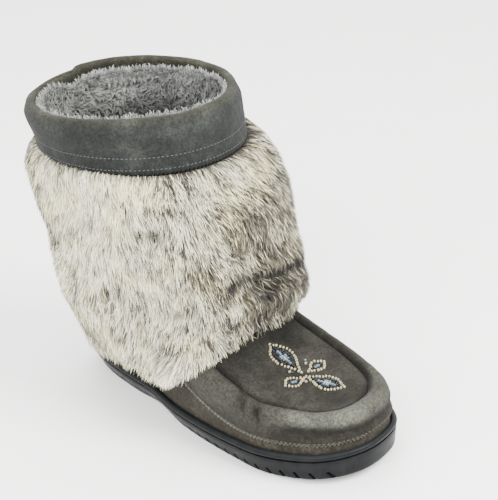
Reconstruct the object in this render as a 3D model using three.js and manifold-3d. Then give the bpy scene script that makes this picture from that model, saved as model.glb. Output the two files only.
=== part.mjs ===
// A short mukluk boot for the right foot: a rubber cup sole, a soft hollow upper, a moccasin vamp that rolls
// up around a flat plug, a beaded motif on the plug, a deep fur sleeve round the shaft and a suede cuff that
// folds over the rim. Millimetres, +Z up, toe towards -Y, the wearer's outer side towards -X. The origin is
// on the floor under the centre of the heel.
import * as THREE from "three";
import { mergeVertices } from "three/addons/utils/BufferGeometryUtils.js";
import Module from "manifold-3d";

// Driving dimensions of the sole
const SOLE_LENGTH = 272;
const BALL_WIDTH = 102;
const HEEL_CENTRE = 36; // from the back of the heel to the origin
const LIP_HEIGHT = 19; // floor to the top of the sole's lip
const FOOTBED_HEIGHT = 13; // floor to the surface that the upper stands on
const LIP_WIDTH = 4.2;
const TOE_SPRING = 7;
const ARCH_RISE = 2.5;
const SIDE_GROOVE = 1.3; // depth of the groove under the lip
const SIDE_UNDERCUT = 7.5; // deepest inset of the tread's edge from the outline
const TREAD_PITCH = 9.5;
const TREAD_WIDTH = 2;
const TREAD_DEPTH = 3.2;

// Driving dimensions of the upper
const BOOT_HEIGHT = 219.5; // floor to the top of the folded cuff
const COLLAR_LENGTH = 148.8; // outside of the cuff, front to back
const COLLAR_WIDTH = 134.8; // outside of the cuff, side to side
const COLLAR_SETBACK = 29.4; // from the heel's centre to the collar's centre, forwards
const INSTEP_HEIGHT = 95;
const UPPER_WALL = 3;
const SUEDE = 1.8; // thickness of the suede panels
const ROLL_DEPTH = 5; // how far the vamp's padded roll swells over the panel below it
const VAMP_LENGTH = 148; // from the toe to the vamp's hidden back end
const PLUG_LENGTH = 134; // from the toe to the plug's hidden back end
const PLUG_SEAM_ANGLE = 84; // degrees round the wall's profile where roll and plug meet
const CUFF_HEIGHT = 35;
const RIM_CURL = 2.2; // how far the rim curls inwards at its top
const RIM_FLARE = 6; // how far the rim leans outwards behind the ankle's outer side
const RIM_DROP = 3.5; // how far it sags there
const CUFF_FLAP = 9; // how far the cuff turns down inside the rim
const INSOLE_THICKNESS = 5;
const BEAD_HEIGHT = 1.9;
const MOTIF_SPAN = 79; // sets the bead motif's scale and its place from the toe
const GAP = 0.3; // between pieces that meet

// Driving dimensions of the fur
const FUR_PILE = 20; // deepest pile, from the shaft to the hair tips
const FUR_LOCK_LENGTH = 21;
const FUR_LOCK_PROUD = 3.4;
const FUR_LOCKS_ROUND = 20;

// How finely each form is faceted
const FOOT_COLUMNS = 56;
const SHAFT_COLUMNS = 40;

const toeY = HEEL_CENTRE - SOLE_LENGTH;
const shareOf = (y) => (HEEL_CENTRE - y) / SOLE_LENGTH;
const yOf = (share) => HEEL_CENTRE - share * SOLE_LENGTH;
const radians = THREE.MathUtils.degToRad;

const table = (columns, rows) =>
  rows.map((row) => Object.fromEntries(columns.split(" ").map((name, i) => [name, row[i]])));

// Sole outline: share of the length from the heel, half widths as shares of the ball width.
const OUTLINE = table("share lateral medial", [
  [0.0, 0.0, 0.0],
  [0.016, 0.13, 0.13],
  [0.06, 0.24, 0.25],
  [0.13, 0.312, 0.325],
  [0.22, 0.357, 0.35],
  [0.35, 0.4, 0.355],
  [0.48, 0.478, 0.405],
  [0.6, 0.512, 0.462],
  [0.7, 0.513, 0.494],
  [0.79, 0.495, 0.497],
  [0.87, 0.43, 0.458],
  [0.93, 0.35, 0.385],
  [0.978, 0.215, 0.25],
  [1.0, 0.03, -0.03],
]);

// Foot form: roof height as a share of the instep height, and the plan width over which each wall rounds
// into the roof as a share of the ball width.
const FOOT = table("share roof lateral medial", [
  [0.0, 0.46, 0.118, 0.118],
  [0.2, 0.6, 0.137, 0.137],
  [0.42, 0.86, 0.137, 0.118],
  [0.54, 0.74, 0.098, 0.088],
  [0.6, 0.655, 0.088, 0.074],
  [0.65, 0.59, 0.093, 0.074],
  [0.765, 0.475, 0.118, 0.078],
  [0.88, 0.41, 0.167, 0.123],
  [0.94, 0.395, 0.181, 0.167],
  [1.0, 0.39, 0.191, 0.191],
]);

// Shaft form: height as a share of the boot's height, front and back as shares of the sole length ahead of
// and behind the heel's centre, half width as a share of the collar's, where it is widest, and squareness.
const SHAFT = table("height front back width widest power", [
  [0.09, 0.257, 0.1, 0.47, 0.03, 2.3],
  [0.22, 0.37, 0.107, 0.62, 0.1, 2.5],
  [0.35, 0.435, 0.115, 0.76, 0.155, 2.7],
  [0.5, 0.46, 0.125, 0.86, 0.168, 2.6],
  [0.67, 0.44, 0.138, 0.93, 0.15, 2.3],
  [0.84, 0.395, 0.151, 0.985, 0.118, 2.1],
]);

// Fur sleeve, the hair tips' outer form: height as a share of the boot's height, how far it stands off the
// shaft on each side as shares of the pile, where it is widest as a share of the sole length ahead of the
// shaft's widest place, and squareness.
const FUR = table("height front back lateral medial ahead power", [
  [0.34, 0.73, 0.27, 0.45, 0.58, 0.058, 3.4],
  [0.43, 0.9, 0.24, 0.36, 0.72, 0.033, 3.2],
  [0.55, 0.73, 0.18, 0.51, 0.77, 0.018, 2.6],
  [0.67, 0.91, 0.37, 0.65, 0.72, 0.02, 2.4],
  [0.775, 0.94, 0.45, 0.58, 0.58, 0.024, 2.2],
  [0.815, 0.74, 0.35, 0.44, 0.44, 0.023, 2.15],
  [0.838, 0.375, 0.12, 0.14, 0.14, 0.017, 2.1],
]);

// Lower edge of the fur: share along the sole, height above the lip as a share of the instep height.
const HEM = table("share rise", [
  [0.0, 0.035],
  [0.26, 0.06],
  [0.39, 0.11],
  [0.5, 0.2],
  [0.56, 0.33],
  [0.62, 0.47],
]);

// Lower edge of the vamp: share along the sole, height above the lip as a share of the instep height.
const VAMP_EDGE = table("share rise", [
  [0.44, 0.36],
  [0.52, 0.24],
  [0.64, 0.115],
  [0.72, 0.07],
  [1.0, 0.045],
]);

// Side of the outsole from the tread up to the inside of the lip: inset as a share of the lip's width,
// height as a share of the lip's height, and how much of the undercut and of the side groove reaches it.
const SOLE_SIDE = table("inset height undercut groove", [
  [0.35, 0.0, 1, 0],
  [0.0, 0.1, 1, 0],
  [0.1, 0.4, 0.55, 0],
  [0.2, 0.66, 0.1, 1],
  [0.03, 0.75, 0, 0],
  [0.0, 0.88, 0, 0],
  [0.35, 1.0, 0, 0],
  [1.0, 1.0, 0, 0],
]);

// Inset of the tread's edge from the sole's outline on each side, as a share of the deepest undercut.
const UNDERCUT = table("share lateral medial", [
  [0.0, 0.73, 0.73],
  [0.3, 0.87, 1.0],
  [0.62, 0.8, 0.87],
  [0.85, 0.33, 0.33],
  [1.0, 0.2, 0.2],
]);

// Bead leaves: centre from the toe and sideways, length and width as shares of the motif's span, and heading
// in degrees clockwise from the heel.
const LEAVES = table("name forward aside length width heading", [
  ["back", 0.985, 0.03, 0.355, 0.155, 4],
  ["front", 0.62, 0.1, 0.34, 0.145, 158],
  ["lateral", 0.8, -0.105, 0.2, 0.085, -86],
  ["medial", 0.78, 0.185, 0.2, 0.085, 76],
]);

// Interpolates a table's column with a smooth curve through its rows, held level past its ends.
function smooth(rows, key, column, x) {
  const last = rows.length - 1;
  if (x <= rows[0][key]) return rows[0][column];
  if (x >= rows[last][key]) return rows[last][column];
  let i = 0;
  while (rows[i + 1][key] < x) i++;
  const slope = (j) => {
    const a = rows[Math.max(j - 1, 0)];
    const b = rows[Math.min(j + 1, last)];
    return (b[column] - a[column]) / (b[key] - a[key]);
  };
  const width = rows[i + 1][key] - rows[i][key];
  const t = (x - rows[i][key]) / width;
  const h = [2 * t ** 3 - 3 * t ** 2 + 1, t ** 3 - 2 * t ** 2 + t, 3 * t ** 2 - 2 * t ** 3, t ** 3 - t ** 2];
  return (
    h[0] * rows[i][column] + h[1] * width * slope(i) + h[2] * rows[i + 1][column] + h[3] * width * slope(i + 1)
  );
}

// The toe spring lifts everything ahead of the ball.
const SPRING_START = 0.72; // share of the sole length
function lift(y) {
  const ahead = Math.max(0, shareOf(y) - SPRING_START) / (1 - SPRING_START);
  return TOE_SPRING * ahead ** 2;
}

// Columns round the sole's outline, anticlockwise from the heel as seen from above, with outward normals.
function outlineColumns(count) {
  const side = (row, sign, key) => new THREE.Vector3(sign * row[key] * BALL_WIDTH, yOf(row.share), 0);
  const lateral = OUTLINE.map((row) => side(row, -1, "lateral"));
  const medial = OUTLINE.slice(1, -1).map((row) => side(row, 1, "medial"));
  const curve = new THREE.CatmullRomCurve3([...lateral, ...medial.reverse()], true, "centripetal");
  const spots = curve.getSpacedPoints(count).slice(0, count);
  return spots.map((p, i) => {
    const before = spots[(i + count - 1) % count];
    const after = spots[(i + 1) % count];
    const along = new THREE.Vector2(after.x - before.x, after.y - before.y).normalize();
    return { x: p.x, y: p.y, nx: along.y, ny: -along.x, side: p.x < 0 ? "lateral" : "medial" };
  });
}
const columns = outlineColumns(FOOT_COLUMNS);
const insetAt = (column, inset) => [column.x - column.nx * inset, column.y - column.ny * inset];

// Mesh and solid helpers
const wasm = await Module();
wasm.setup();

function solidOf(geometry) {
  const bare = geometry.clone();
  bare.deleteAttribute("normal");
  bare.deleteAttribute("uv");
  const merged = mergeVertices(bare, 1e-4);
  const triVerts = new Uint32Array(merged.index.array);
  const vertProperties = new Float32Array(merged.attributes.position.array);
  return new wasm.Manifold(new wasm.Mesh({ numProp: 3, vertProperties, triVerts }));
}

function geometryOf(solid) {
  const mesh = solid.getMesh();
  const geometry = new THREE.BufferGeometry();
  geometry.setAttribute("position", new THREE.BufferAttribute(new Float32Array(mesh.vertProperties), 3));
  geometry.setIndex(new THREE.BufferAttribute(new Uint32Array(mesh.triVerts), 1));
  geometry.computeVertexNormals();
  return geometry;
}

function indexedSolid(points, triangles) {
  const geometry = new THREE.BufferGeometry().setFromPoints(points);
  geometry.setIndex(triangles);
  return solidOf(geometry);
}

// Triangles between one ring of points and the next, both of which run anticlockwise.
function bandTriangles(low, high, count) {
  const triangles = [];
  for (let c = 0; c < count; c++) {
    const next = (c + 1) % count;
    triangles.push(low + c, low + next, high + next, low + c, high + next, high + c);
  }
  return triangles;
}

// Triangles that close a ring which starts at the heel, in strips from one side of the foot to the other.
function zipTriangles(ring, first, facingUp) {
  const count = ring.length;
  const toe = ring.reduce((best, p, i) => (p.y < ring[best].y ? i : best), 0);
  const triangles = [];
  let left = 0;
  let right = count;
  while (right - left > 1) {
    const leftNext = left < toe ? ring[left + 1].y : -Infinity;
    const rightNext = right > toe ? ring[(right - 1) % count].y : -Infinity;
    const next = leftNext > rightNext ? left + 1 : right - 1;
    const corners = [left, next, right].map((i) => first + (i % count));
    if (new Set(corners).size === 3) triangles.push(...(facingUp ? corners : corners.reverse()));
    if (leftNext > rightNext) left++;
    else right--;
  }
  return triangles;
}

// A solid through rings of points that run anticlockwise, from the lowest ring up. Each end closes on its
// pole, or in strips across where it has none.
function ringSolid(rings, bottomPole, topPole) {
  const count = rings[0].length;
  const points = rings.flat();
  const start = points.length - count;
  const triangles = rings.slice(1).flatMap((_, r) => bandTriangles(r * count, (r + 1) * count, count));
  const close = (pole, ring, first, facingUp) => {
    if (!pole) return triangles.push(...zipTriangles(ring, first, facingUp));
    points.push(pole);
    for (let c = 0; c < count; c++) {
      const edge = [first + c, first + ((c + 1) % count)];
      triangles.push(points.length - 1, ...(facingUp ? edge : edge.reverse()));
    }
  };
  close(bottomPole, rings[0], 0, false);
  close(topPole, rings[rings.length - 1], start, true);
  return indexedSolid(points, triangles);
}

// A closed loop of rings, such as a band's section carried round the leg.
function loopSolid(rings) {
  const count = rings[0].length;
  const after = (r) => ((r + 1) % rings.length) * count;
  return indexedSolid(rings.flat(), rings.flatMap((_, r) => bandTriangles(r * count, after(r), count)));
}

function prism(outline, low, high) {
  const shape = new THREE.Shape(outline.map(([x, y]) => new THREE.Vector2(x, y)));
  const geometry = new THREE.ExtrudeGeometry(shape, { depth: high - low, bevelEnabled: false });
  return solidOf(geometry.translate(0, 0, low));
}

function block(size, centre) {
  return solidOf(new THREE.BoxGeometry(...size).translate(...centre));
}

// Outward normals of a grid of rings, from its neighbours up and along.
function gridNormals(rings) {
  const count = rings[0].length;
  return rings.map((ring, r) =>
    ring.map((p, c) => {
      const along = ring[(c + 1) % count].clone().sub(ring[(c + count - 1) % count]);
      const above = rings[Math.min(r + 1, rings.length - 1)][c];
      const below = rings[Math.max(r - 1, 0)][c];
      return along.cross(above.clone().sub(below)).normalize();
    })
  );
}

// The foot's form: walls that rise from the sole and round into a roof.
const WALL_ANGLES = [0, 10, 30, 52, 74, 90];
const WALL_POWER = 0.66;
const UPPER_INSET = LIP_WIDTH + GAP;
const standingHeight = FOOTBED_HEIGHT + GAP;
const roofHeight = (y) => INSTEP_HEIGHT * smooth(FOOT, "share", "roof", shareOf(y));

function wallPoint(column, angle) {
  const round = BALL_WIDTH * smooth(FOOT, "share", column.side, shareOf(column.y));
  const inward = round * (1 - Math.cos(radians(angle)) ** WALL_POWER);
  const [x, y] = insetAt(column, UPPER_INSET + inward);
  const rise = Math.sin(radians(angle)) ** WALL_POWER;
  return new THREE.Vector3(x, y, standingHeight + (roofHeight(y) - standingHeight) * rise + lift(y));
}

// Rings up the wall at the given angles, with a normal for each of their points.
function footForm(angles) {
  const rings = angles.map((angle) => columns.map((column) => wallPoint(column, angle)));
  const normals = gridNormals(rings);
  normals[0].forEach((normal) => normal.setZ(0).normalize());
  return { rings, normals };
}
const foot = footForm(WALL_ANGLES);

// The foot's form moved out by a distance, standing on the footbed or carried down by a drop below it.
function footSolid(growth, drop = 0) {
  const rings = foot.rings.map((ring, r) =>
    ring.map((p, c) => p.clone().addScaledVector(foot.normals[r][c], growth))
  );
  if (drop > 0) rings.unshift(rings[0].map((p) => new THREE.Vector3(p.x, p.y, p.z - drop)));
  return ringSolid(rings);
}

// The shaft's form, from inside the heel up to the rim.
const rimHeight = BOOT_HEIGHT - SUEDE - 2 * GAP;
const collarCentre = -COLLAR_SETBACK;
const cuffOutside = SUEDE + GAP;
const SLUMP_HEADING = radians(145); // from the inner side round by the heel
const halfCollarWidth = COLLAR_WIDTH / 2 - cuffOutside;
const halfCollarLength = COLLAR_LENGTH / 2 - cuffOutside;

function superEllipse(angle, sizes) {
  const bend = (value) => Math.sign(value) * Math.abs(value) ** (2 / sizes.power);
  const cos = bend(Math.cos(angle));
  const sin = bend(Math.sin(angle));
  const x = cos * (cos < 0 ? sizes.lateral : sizes.medial);
  return [x, sizes.widest + sin * (sin < 0 ? sizes.widest - sizes.front : sizes.back - sizes.widest)];
}

// Above its table the shaft eases into the collar's own ellipse.
const cuffFoot = BOOT_HEIGHT - CUFF_HEIGHT;
function shaftSizes(height) {
  const read = (column) => smooth(SHAFT, "height", column, height / BOOT_HEIGHT);
  const sizes = {
    front: -SOLE_LENGTH * read("front"),
    back: SOLE_LENGTH * read("back"),
    widest: -SOLE_LENGTH * read("widest"),
    lateral: halfCollarWidth * read("width"),
    medial: halfCollarWidth * read("width"),
    power: read("power"),
  };
  const t = THREE.MathUtils.smoothstep(height, cuffFoot - CUFF_HEIGHT, rimHeight);
  const collar = {
    front: collarCentre - halfCollarLength,
    back: collarCentre + halfCollarLength,
    widest: collarCentre,
    lateral: halfCollarWidth,
    medial: halfCollarWidth,
    power: 2,
  };
  for (const key of Object.keys(collar)) sizes[key] += (collar[key] - sizes[key]) * t;
  return sizes;
}

function shaftRing(height, outward, over = 0) {
  const level = Math.min(height, rimHeight);
  const sizes = shaftSizes(level);
  const raised = THREE.MathUtils.smoothstep(level, cuffFoot, rimHeight);
  const curl = RIM_CURL * THREE.MathUtils.smoothstep(level, rimHeight - 3 * RIM_CURL, rimHeight);
  const angles = Array.from({ length: SHAFT_COLUMNS }, (_, c) => (c / SHAFT_COLUMNS) * 2 * Math.PI);
  const spots = angles.map((angle) => superEllipse(angle, sizes));
  return spots.map(([x, y], c) => {
    const before = spots[(c + SHAFT_COLUMNS - 1) % SHAFT_COLUMNS];
    const after = spots[(c + 1) % SHAFT_COLUMNS];
    const along = new THREE.Vector2(after[0] - before[0], after[1] - before[1]).normalize();
    const slump = raised * Math.max(0, Math.cos(angles[c] - SLUMP_HEADING)) ** 2;
    const move = outward + RIM_FLARE * slump - curl;
    return new THREE.Vector3(x + along.y * move, y - along.x * move, height + over - RIM_DROP * slump);
  });
}

const shoulderHeight = rimHeight - 3 * RIM_CURL;
const shaftHeights = [...SHAFT.map((row) => row.height * BOOT_HEIGHT), shoulderHeight, rimHeight];
function shaftSolid(outward, over = 0) {
  const rings = shaftHeights.map((height) => shaftRing(height, outward));
  if (over > 0) rings.push(shaftRing(rimHeight, outward, over));
  const pole = (ring, y) => new THREE.Vector3(0, y, ring[0].z);
  return ringSolid(rings, pole(rings[0], 0), pole(rings[rings.length - 1], collarCentre));
}

// Upper: one hollow solid, open at the collar and underneath.
const OPEN_PAST = 20; // how far the hollow runs past each opening
function upper() {
  const outside = footSolid(0).add(shaftSolid(0));
  const inside = footSolid(-UPPER_WALL, OPEN_PAST).add(shaftSolid(-UPPER_WALL, OPEN_PAST));
  return outside.subtract(inside);
}

// Vamp: a suede wrap with a padded roll round the plug. Its form is the foot's, grown ring by ring.
const VAMP_ANGLES = [14, 34, 45, 56, 66, 75, PLUG_SEAM_ANGLE, 90];
const wrapForm = footForm(VAMP_ANGLES);
const vampBack = toeY + VAMP_LENGTH;
const VAMP_FADE = 12; // distance over which the wrap's thickness dies out behind its end
const ROLL_START = 30; // degrees round the wall's profile
const ROLL_END = 92;
const rollSwell = (angle) => {
  const t = THREE.MathUtils.clamp((angle - ROLL_START) / (ROLL_END - ROLL_START), 0, 1);
  return ROLL_DEPTH * Math.sin(Math.PI * t ** 0.85) ** 1.2;
};
function vampGrowth(ring, y) {
  const kept = 1 - THREE.MathUtils.smoothstep(y, vampBack, vampBack + VAMP_FADE);
  return (GAP + SUEDE + rollSwell(VAMP_ANGLES[ring])) * kept;
}

// Plan of the seam between roll and plug, moved inwards by a margin and carried straight back.
function seamOutline(margin) {
  const front = columns.filter((column) => column.y < vampBack);
  const spots = front.map((column) => {
    const p = wallPoint(column, PLUG_SEAM_ANGLE);
    return [p.x - column.nx * margin, p.y - column.ny * margin];
  });
  const ends = [spots[spots.length - 1], spots[0]].map(([x]) => [x, vampBack + 2 * VAMP_FADE]);
  return [...spots, ...ends];
}
const behind = (y) => block([400, 400, 400], [0, y + 200, 100]);

function vampForm(extra) {
  const edgeHeight = (y) => LIP_HEIGHT + INSTEP_HEIGHT * smooth(VAMP_EDGE, "share", "rise", shareOf(y)) - extra;
  const rings = wrapForm.rings.map((ring, r) =>
    ring.map((p, c) => {
      const grown = p.clone().addScaledVector(wrapForm.normals[r][c], vampGrowth(r, p.y) + extra);
      grown.z = Math.max(grown.z, edgeHeight(p.y) + lift(p.y) + r * 0.01);
      return grown;
    })
  );
  return ringSolid(rings);
}

function vamp() {
  const opening = prism(seamOutline(-GAP / 2), 0, BOOT_HEIGHT);
  const cuts = [footSolid(GAP), shaftSolid(GAP), opening, behind(vampBack)];
  return cuts.reduce((left, cut) => left.subtract(cut), vampForm(0));
}

// Plug: the flat panel inside the roll.
function plug() {
  const sheet = footSolid(GAP + SUEDE).subtract(footSolid(GAP)).subtract(shaftSolid(GAP));
  const inside = prism(seamOutline(GAP / 2), INSTEP_HEIGHT / 4, BOOT_HEIGHT);
  return sheet.intersect(inside).subtract(behind(toeY + PLUG_LENGTH));
}

// Bead leaves: low pointed pads that stand on the plug.
const LEAF_STEPS = 5;
function leafOutline(leaf) {
  const length = leaf.length * MOTIF_SPAN;
  const half = (leaf.width * MOTIF_SPAN) / 2;
  const centre = [leaf.aside * MOTIF_SPAN, toeY + leaf.forward * MOTIF_SPAN];
  const turn = radians(leaf.heading);
  const edge = (t, sign) => {
    const along = (t - 0.5) * length;
    const across = sign * half * Math.sin(Math.PI * t) ** 0.8;
    return [
      centre[0] + along * Math.sin(turn) + across * Math.cos(turn),
      centre[1] + along * Math.cos(turn) - across * Math.sin(turn),
    ];
  };
  const steps = Array.from({ length: LEAF_STEPS }, (_, i) => i / LEAF_STEPS);
  return [...steps.map((t) => edge(t, 1)), ...steps.map((t) => edge(1 - t, -1))];
}

const beadFloor = 2 * GAP + SUEDE;
const beadLayer = footSolid(beadFloor + BEAD_HEIGHT).subtract(footSolid(beadFloor));
const beadLeaf = (leaf) => beadLayer.intersect(prism(leafOutline(leaf), INSTEP_HEIGHT / 4, BOOT_HEIGHT));

// Cuff: a suede band folded over the rim and down inside it.
function cuff() {
  const insideWall = -UPPER_WALL - GAP;
  const flapFoot = rimHeight - CUFF_FLAP;
  const section = table("outward height over", [
    [GAP + SUEDE, cuffFoot, 0],
    [GAP + SUEDE, shoulderHeight, 0],
    [GAP + SUEDE * 0.8, rimHeight, 0],
    [-UPPER_WALL / 2, rimHeight, BOOT_HEIGHT - rimHeight],
    [insideWall - SUEDE * 0.7, rimHeight, SUEDE * 0.3],
    [insideWall - SUEDE, shoulderHeight, 0],
    [insideWall - SUEDE, flapFoot, 0],
    [-UPPER_WALL / 2, flapFoot, 0],
    [-UPPER_WALL / 2, cuffFoot, 0],
  ]);
  const band = loopSolid(section.map((row) => shaftRing(row.height, row.outward, row.over)));
  const wall = shaftSolid(GAP, GAP).subtract(shaftSolid(insideWall, OPEN_PAST));
  return band.subtract(wall);
}

// Fur sleeve: a thick tube from under the cuff down to its hem, with tiers of pointed locks fused on.
const furTop = cuffFoot - GAP;
const furTableFoot = FUR[0].height * BOOT_HEIGHT;
const FUR_SPREAD = 2.5; // how far the hair stands out past the sole's edge at the hem

// Distance from a point to the sole's outline in a given direction.
function outlineReach(x, y, dx, dy) {
  let best = 0;
  columns.forEach((a, i) => {
    const b = columns[(i + 1) % columns.length];
    const [ex, ey] = [b.x - a.x, b.y - a.y];
    const across = dx * ey - dy * ex;
    const along = ((a.x - x) * ey - (a.y - y) * ex) / across;
    const share = ((a.x - x) * dy - (a.y - y) * dx) / across;
    if (share >= 0 && share <= 1 && along > best) best = along;
  });
  return best;
}

function furSizes(height) {
  const sizes = shaftSizes(height);
  const read = (column) => smooth(FUR, "height", column, height / BOOT_HEIGHT);
  sizes.front -= FUR_PILE * read("front");
  for (const side of ["back", "lateral", "medial"]) sizes[side] += FUR_PILE * read(side);
  sizes.widest -= SOLE_LENGTH * read("ahead");
  sizes.power = read("power");
  return sizes;
}

function furPoint(turn, height) {
  const angle = turn * 2 * Math.PI;
  const sizes = furSizes(Math.max(height, furTableFoot));
  const [x, y] = superEllipse(angle, sizes);
  const reach = Math.hypot(x, y - sizes.widest);
  const [dx, dy] = [x / reach, (y - sizes.widest) / reach];
  const low = outlineReach(0, sizes.widest, dx, dy) + FUR_SPREAD;
  const t = THREE.MathUtils.clamp((furTableFoot - height) / (furTableFoot - LIP_HEIGHT), 0, 1);
  const length = reach + (Math.min(low, reach * 1.05) - reach) * t;
  return new THREE.Vector3(dx * length, sizes.widest + dy * length, height);
}

const hemAt = (turn) => {
  const y = furPoint(turn, furTableFoot).y;
  return LIP_HEIGHT + INSTEP_HEIGHT * smooth(HEM, "share", "rise", shareOf(y));
};
const furSpot = (turn, down) => furPoint(turn, furTop + (hemAt(turn) - furTop) * down);

function furNormal(turn, down) {
  const step = 0.01;
  const along = furSpot(turn + step, down).sub(furSpot(turn - step, down));
  const up = furSpot(turn, down - step).sub(furSpot(turn, down + step));
  return along.cross(up).normalize();
}

// Each tier of locks is a ring of points that hang down and stand proud, with the next tier's half a lock on.
function furTier(down, reach, offset) {
  const tips = [];
  for (let k = 0; k < 2 * FUR_LOCKS_ROUND; k++) {
    const turn = k / (2 * FUR_LOCKS_ROUND);
    const isTip = (k + offset) % 2 === 0;
    const uneven = 1 + 0.22 * Math.sin(k * 2.4 + offset * 1.3);
    const hang = isTip ? reach * uneven : -0.15 * reach;
    const proud = FUR_LOCK_PROUD * (isTip ? uneven : 0.25);
    tips.push(furSpot(turn, down + hang).addScaledVector(furNormal(turn, down), proud));
  }
  return tips;
}

function furUnder(down) {
  const turns = Array.from({ length: 2 * FUR_LOCKS_ROUND }, (_, k) => k / (2 * FUR_LOCKS_ROUND));
  return turns.map((turn) => furSpot(turn, down).addScaledVector(furNormal(turn, down), -FUR_LOCK_PROUD / 2));
}

function furSleeve() {
  const tiers = Math.round((furTop - LIP_HEIGHT) / FUR_LOCK_LENGTH);
  const rings = [];
  for (let tier = tiers; tier >= 1; tier--) {
    rings.push(furTier((tier - 0.35) / tiers, tier === tiers ? 0.35 / tiers : 0.45 / tiers, tier));
    rings.push(furUnder((tier - 0.85) / tiers));
  }
  rings.push(furUnder(0));
  const floorPole = new THREE.Vector3(0, -BALL_WIDTH / 2, LIP_HEIGHT * 1.6);
  const sleeve = ringSolid(rings, floorPole, new THREE.Vector3(0, collarCentre, furTop));
  const aboveLip = block([400, 400, 400], [0, 0, LIP_HEIGHT + GAP - 200]);
  const cuts = [shaftSolid(GAP), footSolid(GAP), vampForm(2 * GAP), aboveLip];
  return cuts.reduce((left, cut) => left.subtract(cut), sleeve);
}

// Insole: a footbed inside the upper's walls.
const INSOLE_EDGE = 1; // the bevel round its top
function insole() {
  const inset = UPPER_INSET + UPPER_WALL + GAP;
  const ring = (more, height) =>
    columns.map((column) => {
      const [x, y] = insetAt(column, inset + more);
      return new THREE.Vector3(x, y, height + lift(y));
    });
  const topHeight = standingHeight + INSOLE_THICKNESS;
  return ringSolid([ring(0, standingHeight), ring(0, topHeight - INSOLE_EDGE), ring(INSOLE_EDGE, topHeight)]);
}

// Outsole: a cup with a lip, a side groove, an undercut side, an arch and treads cut across it.
function archRise(y) {
  const t = THREE.MathUtils.clamp((shareOf(y) - 0.27) / (0.5 - 0.27), 0, 1);
  return ARCH_RISE * Math.sin(Math.PI * t) ** 2;
}

function outsole() {
  const sideRings = SOLE_SIDE.map((row) =>
    columns.map((column) => {
      const undercut = SIDE_UNDERCUT * smooth(UNDERCUT, "share", column.side, shareOf(column.y));
      const inset = row.inset * LIP_WIDTH + row.undercut * undercut + row.groove * SIDE_GROOVE;
      const [x, y] = insetAt(column, inset);
      const arch = archRise(y) * (1 - row.height);
      return new THREE.Vector3(x, y, row.height * LIP_HEIGHT + arch + lift(y));
    })
  );
  const recess = columns.map((column) => {
    const [x, y] = insetAt(column, LIP_WIDTH);
    return new THREE.Vector3(x, y, FOOTBED_HEIGHT + lift(y));
  });
  return ringSolid([...sideRings, recess]).subtract(treadGrooves());
}

// Treads run right across the forefoot and the heel and show as leaning slots in the sole's side.
const TREAD_LEAN = radians(20);
const HEEL_PAD = 14; // half length of the plain patch under the heel's centre
const TREAD_ZONES = table("from to", [
  [0.52, 0.98],
  [0.02, 0.24],
]);
function treadGrooves() {
  const bars = [];
  for (const zone of TREAD_ZONES) {
    for (let y = yOf(zone.from) - TREAD_PITCH / 2; y > yOf(zone.to); y -= TREAD_PITCH) {
      if (Math.abs(y) < HEEL_PAD) continue;
      const bar = new THREE.BoxGeometry(2 * BALL_WIDTH, TREAD_WIDTH, 2 * TREAD_DEPTH);
      bars.push(solidOf(bar.rotateX(TREAD_LEAN).translate(0, y, lift(y))));
    }
  }
  return wasm.Manifold.union(bars);
}

// The boot
const materials = {
  rubber: { color: 0x2a2c2d, roughness: 0.55 },
  suede: { color: 0x55534e, roughness: 0.95 },
  cuffSuede: { color: 0x45484a, roughness: 0.95 },
  quarter: { color: 0x544c43, roughness: 0.95 },
  fur: { color: 0xb3ada3, roughness: 0.9 },
  felt: { color: 0x767a7a, roughness: 1 },
  bead: { color: 0x22303c, roughness: 0.3 },
};

function part(name, solid, finish) {
  const material = new THREE.MeshStandardMaterial({ ...materials[finish], metalness: 0 });
  const mesh = new THREE.Mesh(geometryOf(solid), material);
  mesh.name = name;
  return mesh;
}

const boot = new THREE.Group();
boot.add(
  part("outsole", outsole(), "rubber"),
  part("insole", insole(), "felt"),
  part("upper", upper(), "quarter"),
  part("vamp", vamp(), "suede"),
  part("plug", plug(), "suede"),
  part("fur_sleeve", furSleeve(), "fur"),
  part("cuff", cuff(), "cuffSuede")
);
for (const leaf of LEAVES) boot.add(part(`bead_leaf_${leaf.name}`, beadLeaf(leaf), "bead"));

export default boot;
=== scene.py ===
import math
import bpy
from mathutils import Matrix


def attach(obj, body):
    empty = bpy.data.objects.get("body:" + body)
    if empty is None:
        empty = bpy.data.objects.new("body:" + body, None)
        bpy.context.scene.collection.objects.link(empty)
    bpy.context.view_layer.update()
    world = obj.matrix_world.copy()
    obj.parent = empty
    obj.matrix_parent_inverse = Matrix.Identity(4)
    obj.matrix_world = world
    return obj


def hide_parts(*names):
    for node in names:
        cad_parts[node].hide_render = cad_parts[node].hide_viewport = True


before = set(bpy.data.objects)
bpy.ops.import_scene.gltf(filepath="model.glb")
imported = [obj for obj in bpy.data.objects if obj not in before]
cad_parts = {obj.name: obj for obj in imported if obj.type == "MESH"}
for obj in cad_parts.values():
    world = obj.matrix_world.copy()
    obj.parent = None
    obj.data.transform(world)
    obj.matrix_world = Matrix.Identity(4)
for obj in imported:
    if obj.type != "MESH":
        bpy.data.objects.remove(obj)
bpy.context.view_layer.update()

# A short mukluk boot for the right foot: a rubber cup sole, a suede upper lined with fleece, a moccasin vamp
# that rolls up round a flat plug, bead leaves on the plug, a deep fur sleeve and a suede cuff. Sizes are in
# millimetres until a mesh is made, with +Z up, the toe towards -Y and the outer side towards -X.
from types import SimpleNamespace

import bpy
import numpy as np
from mathutils import Matrix, Vector

MM = 0.001

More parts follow.
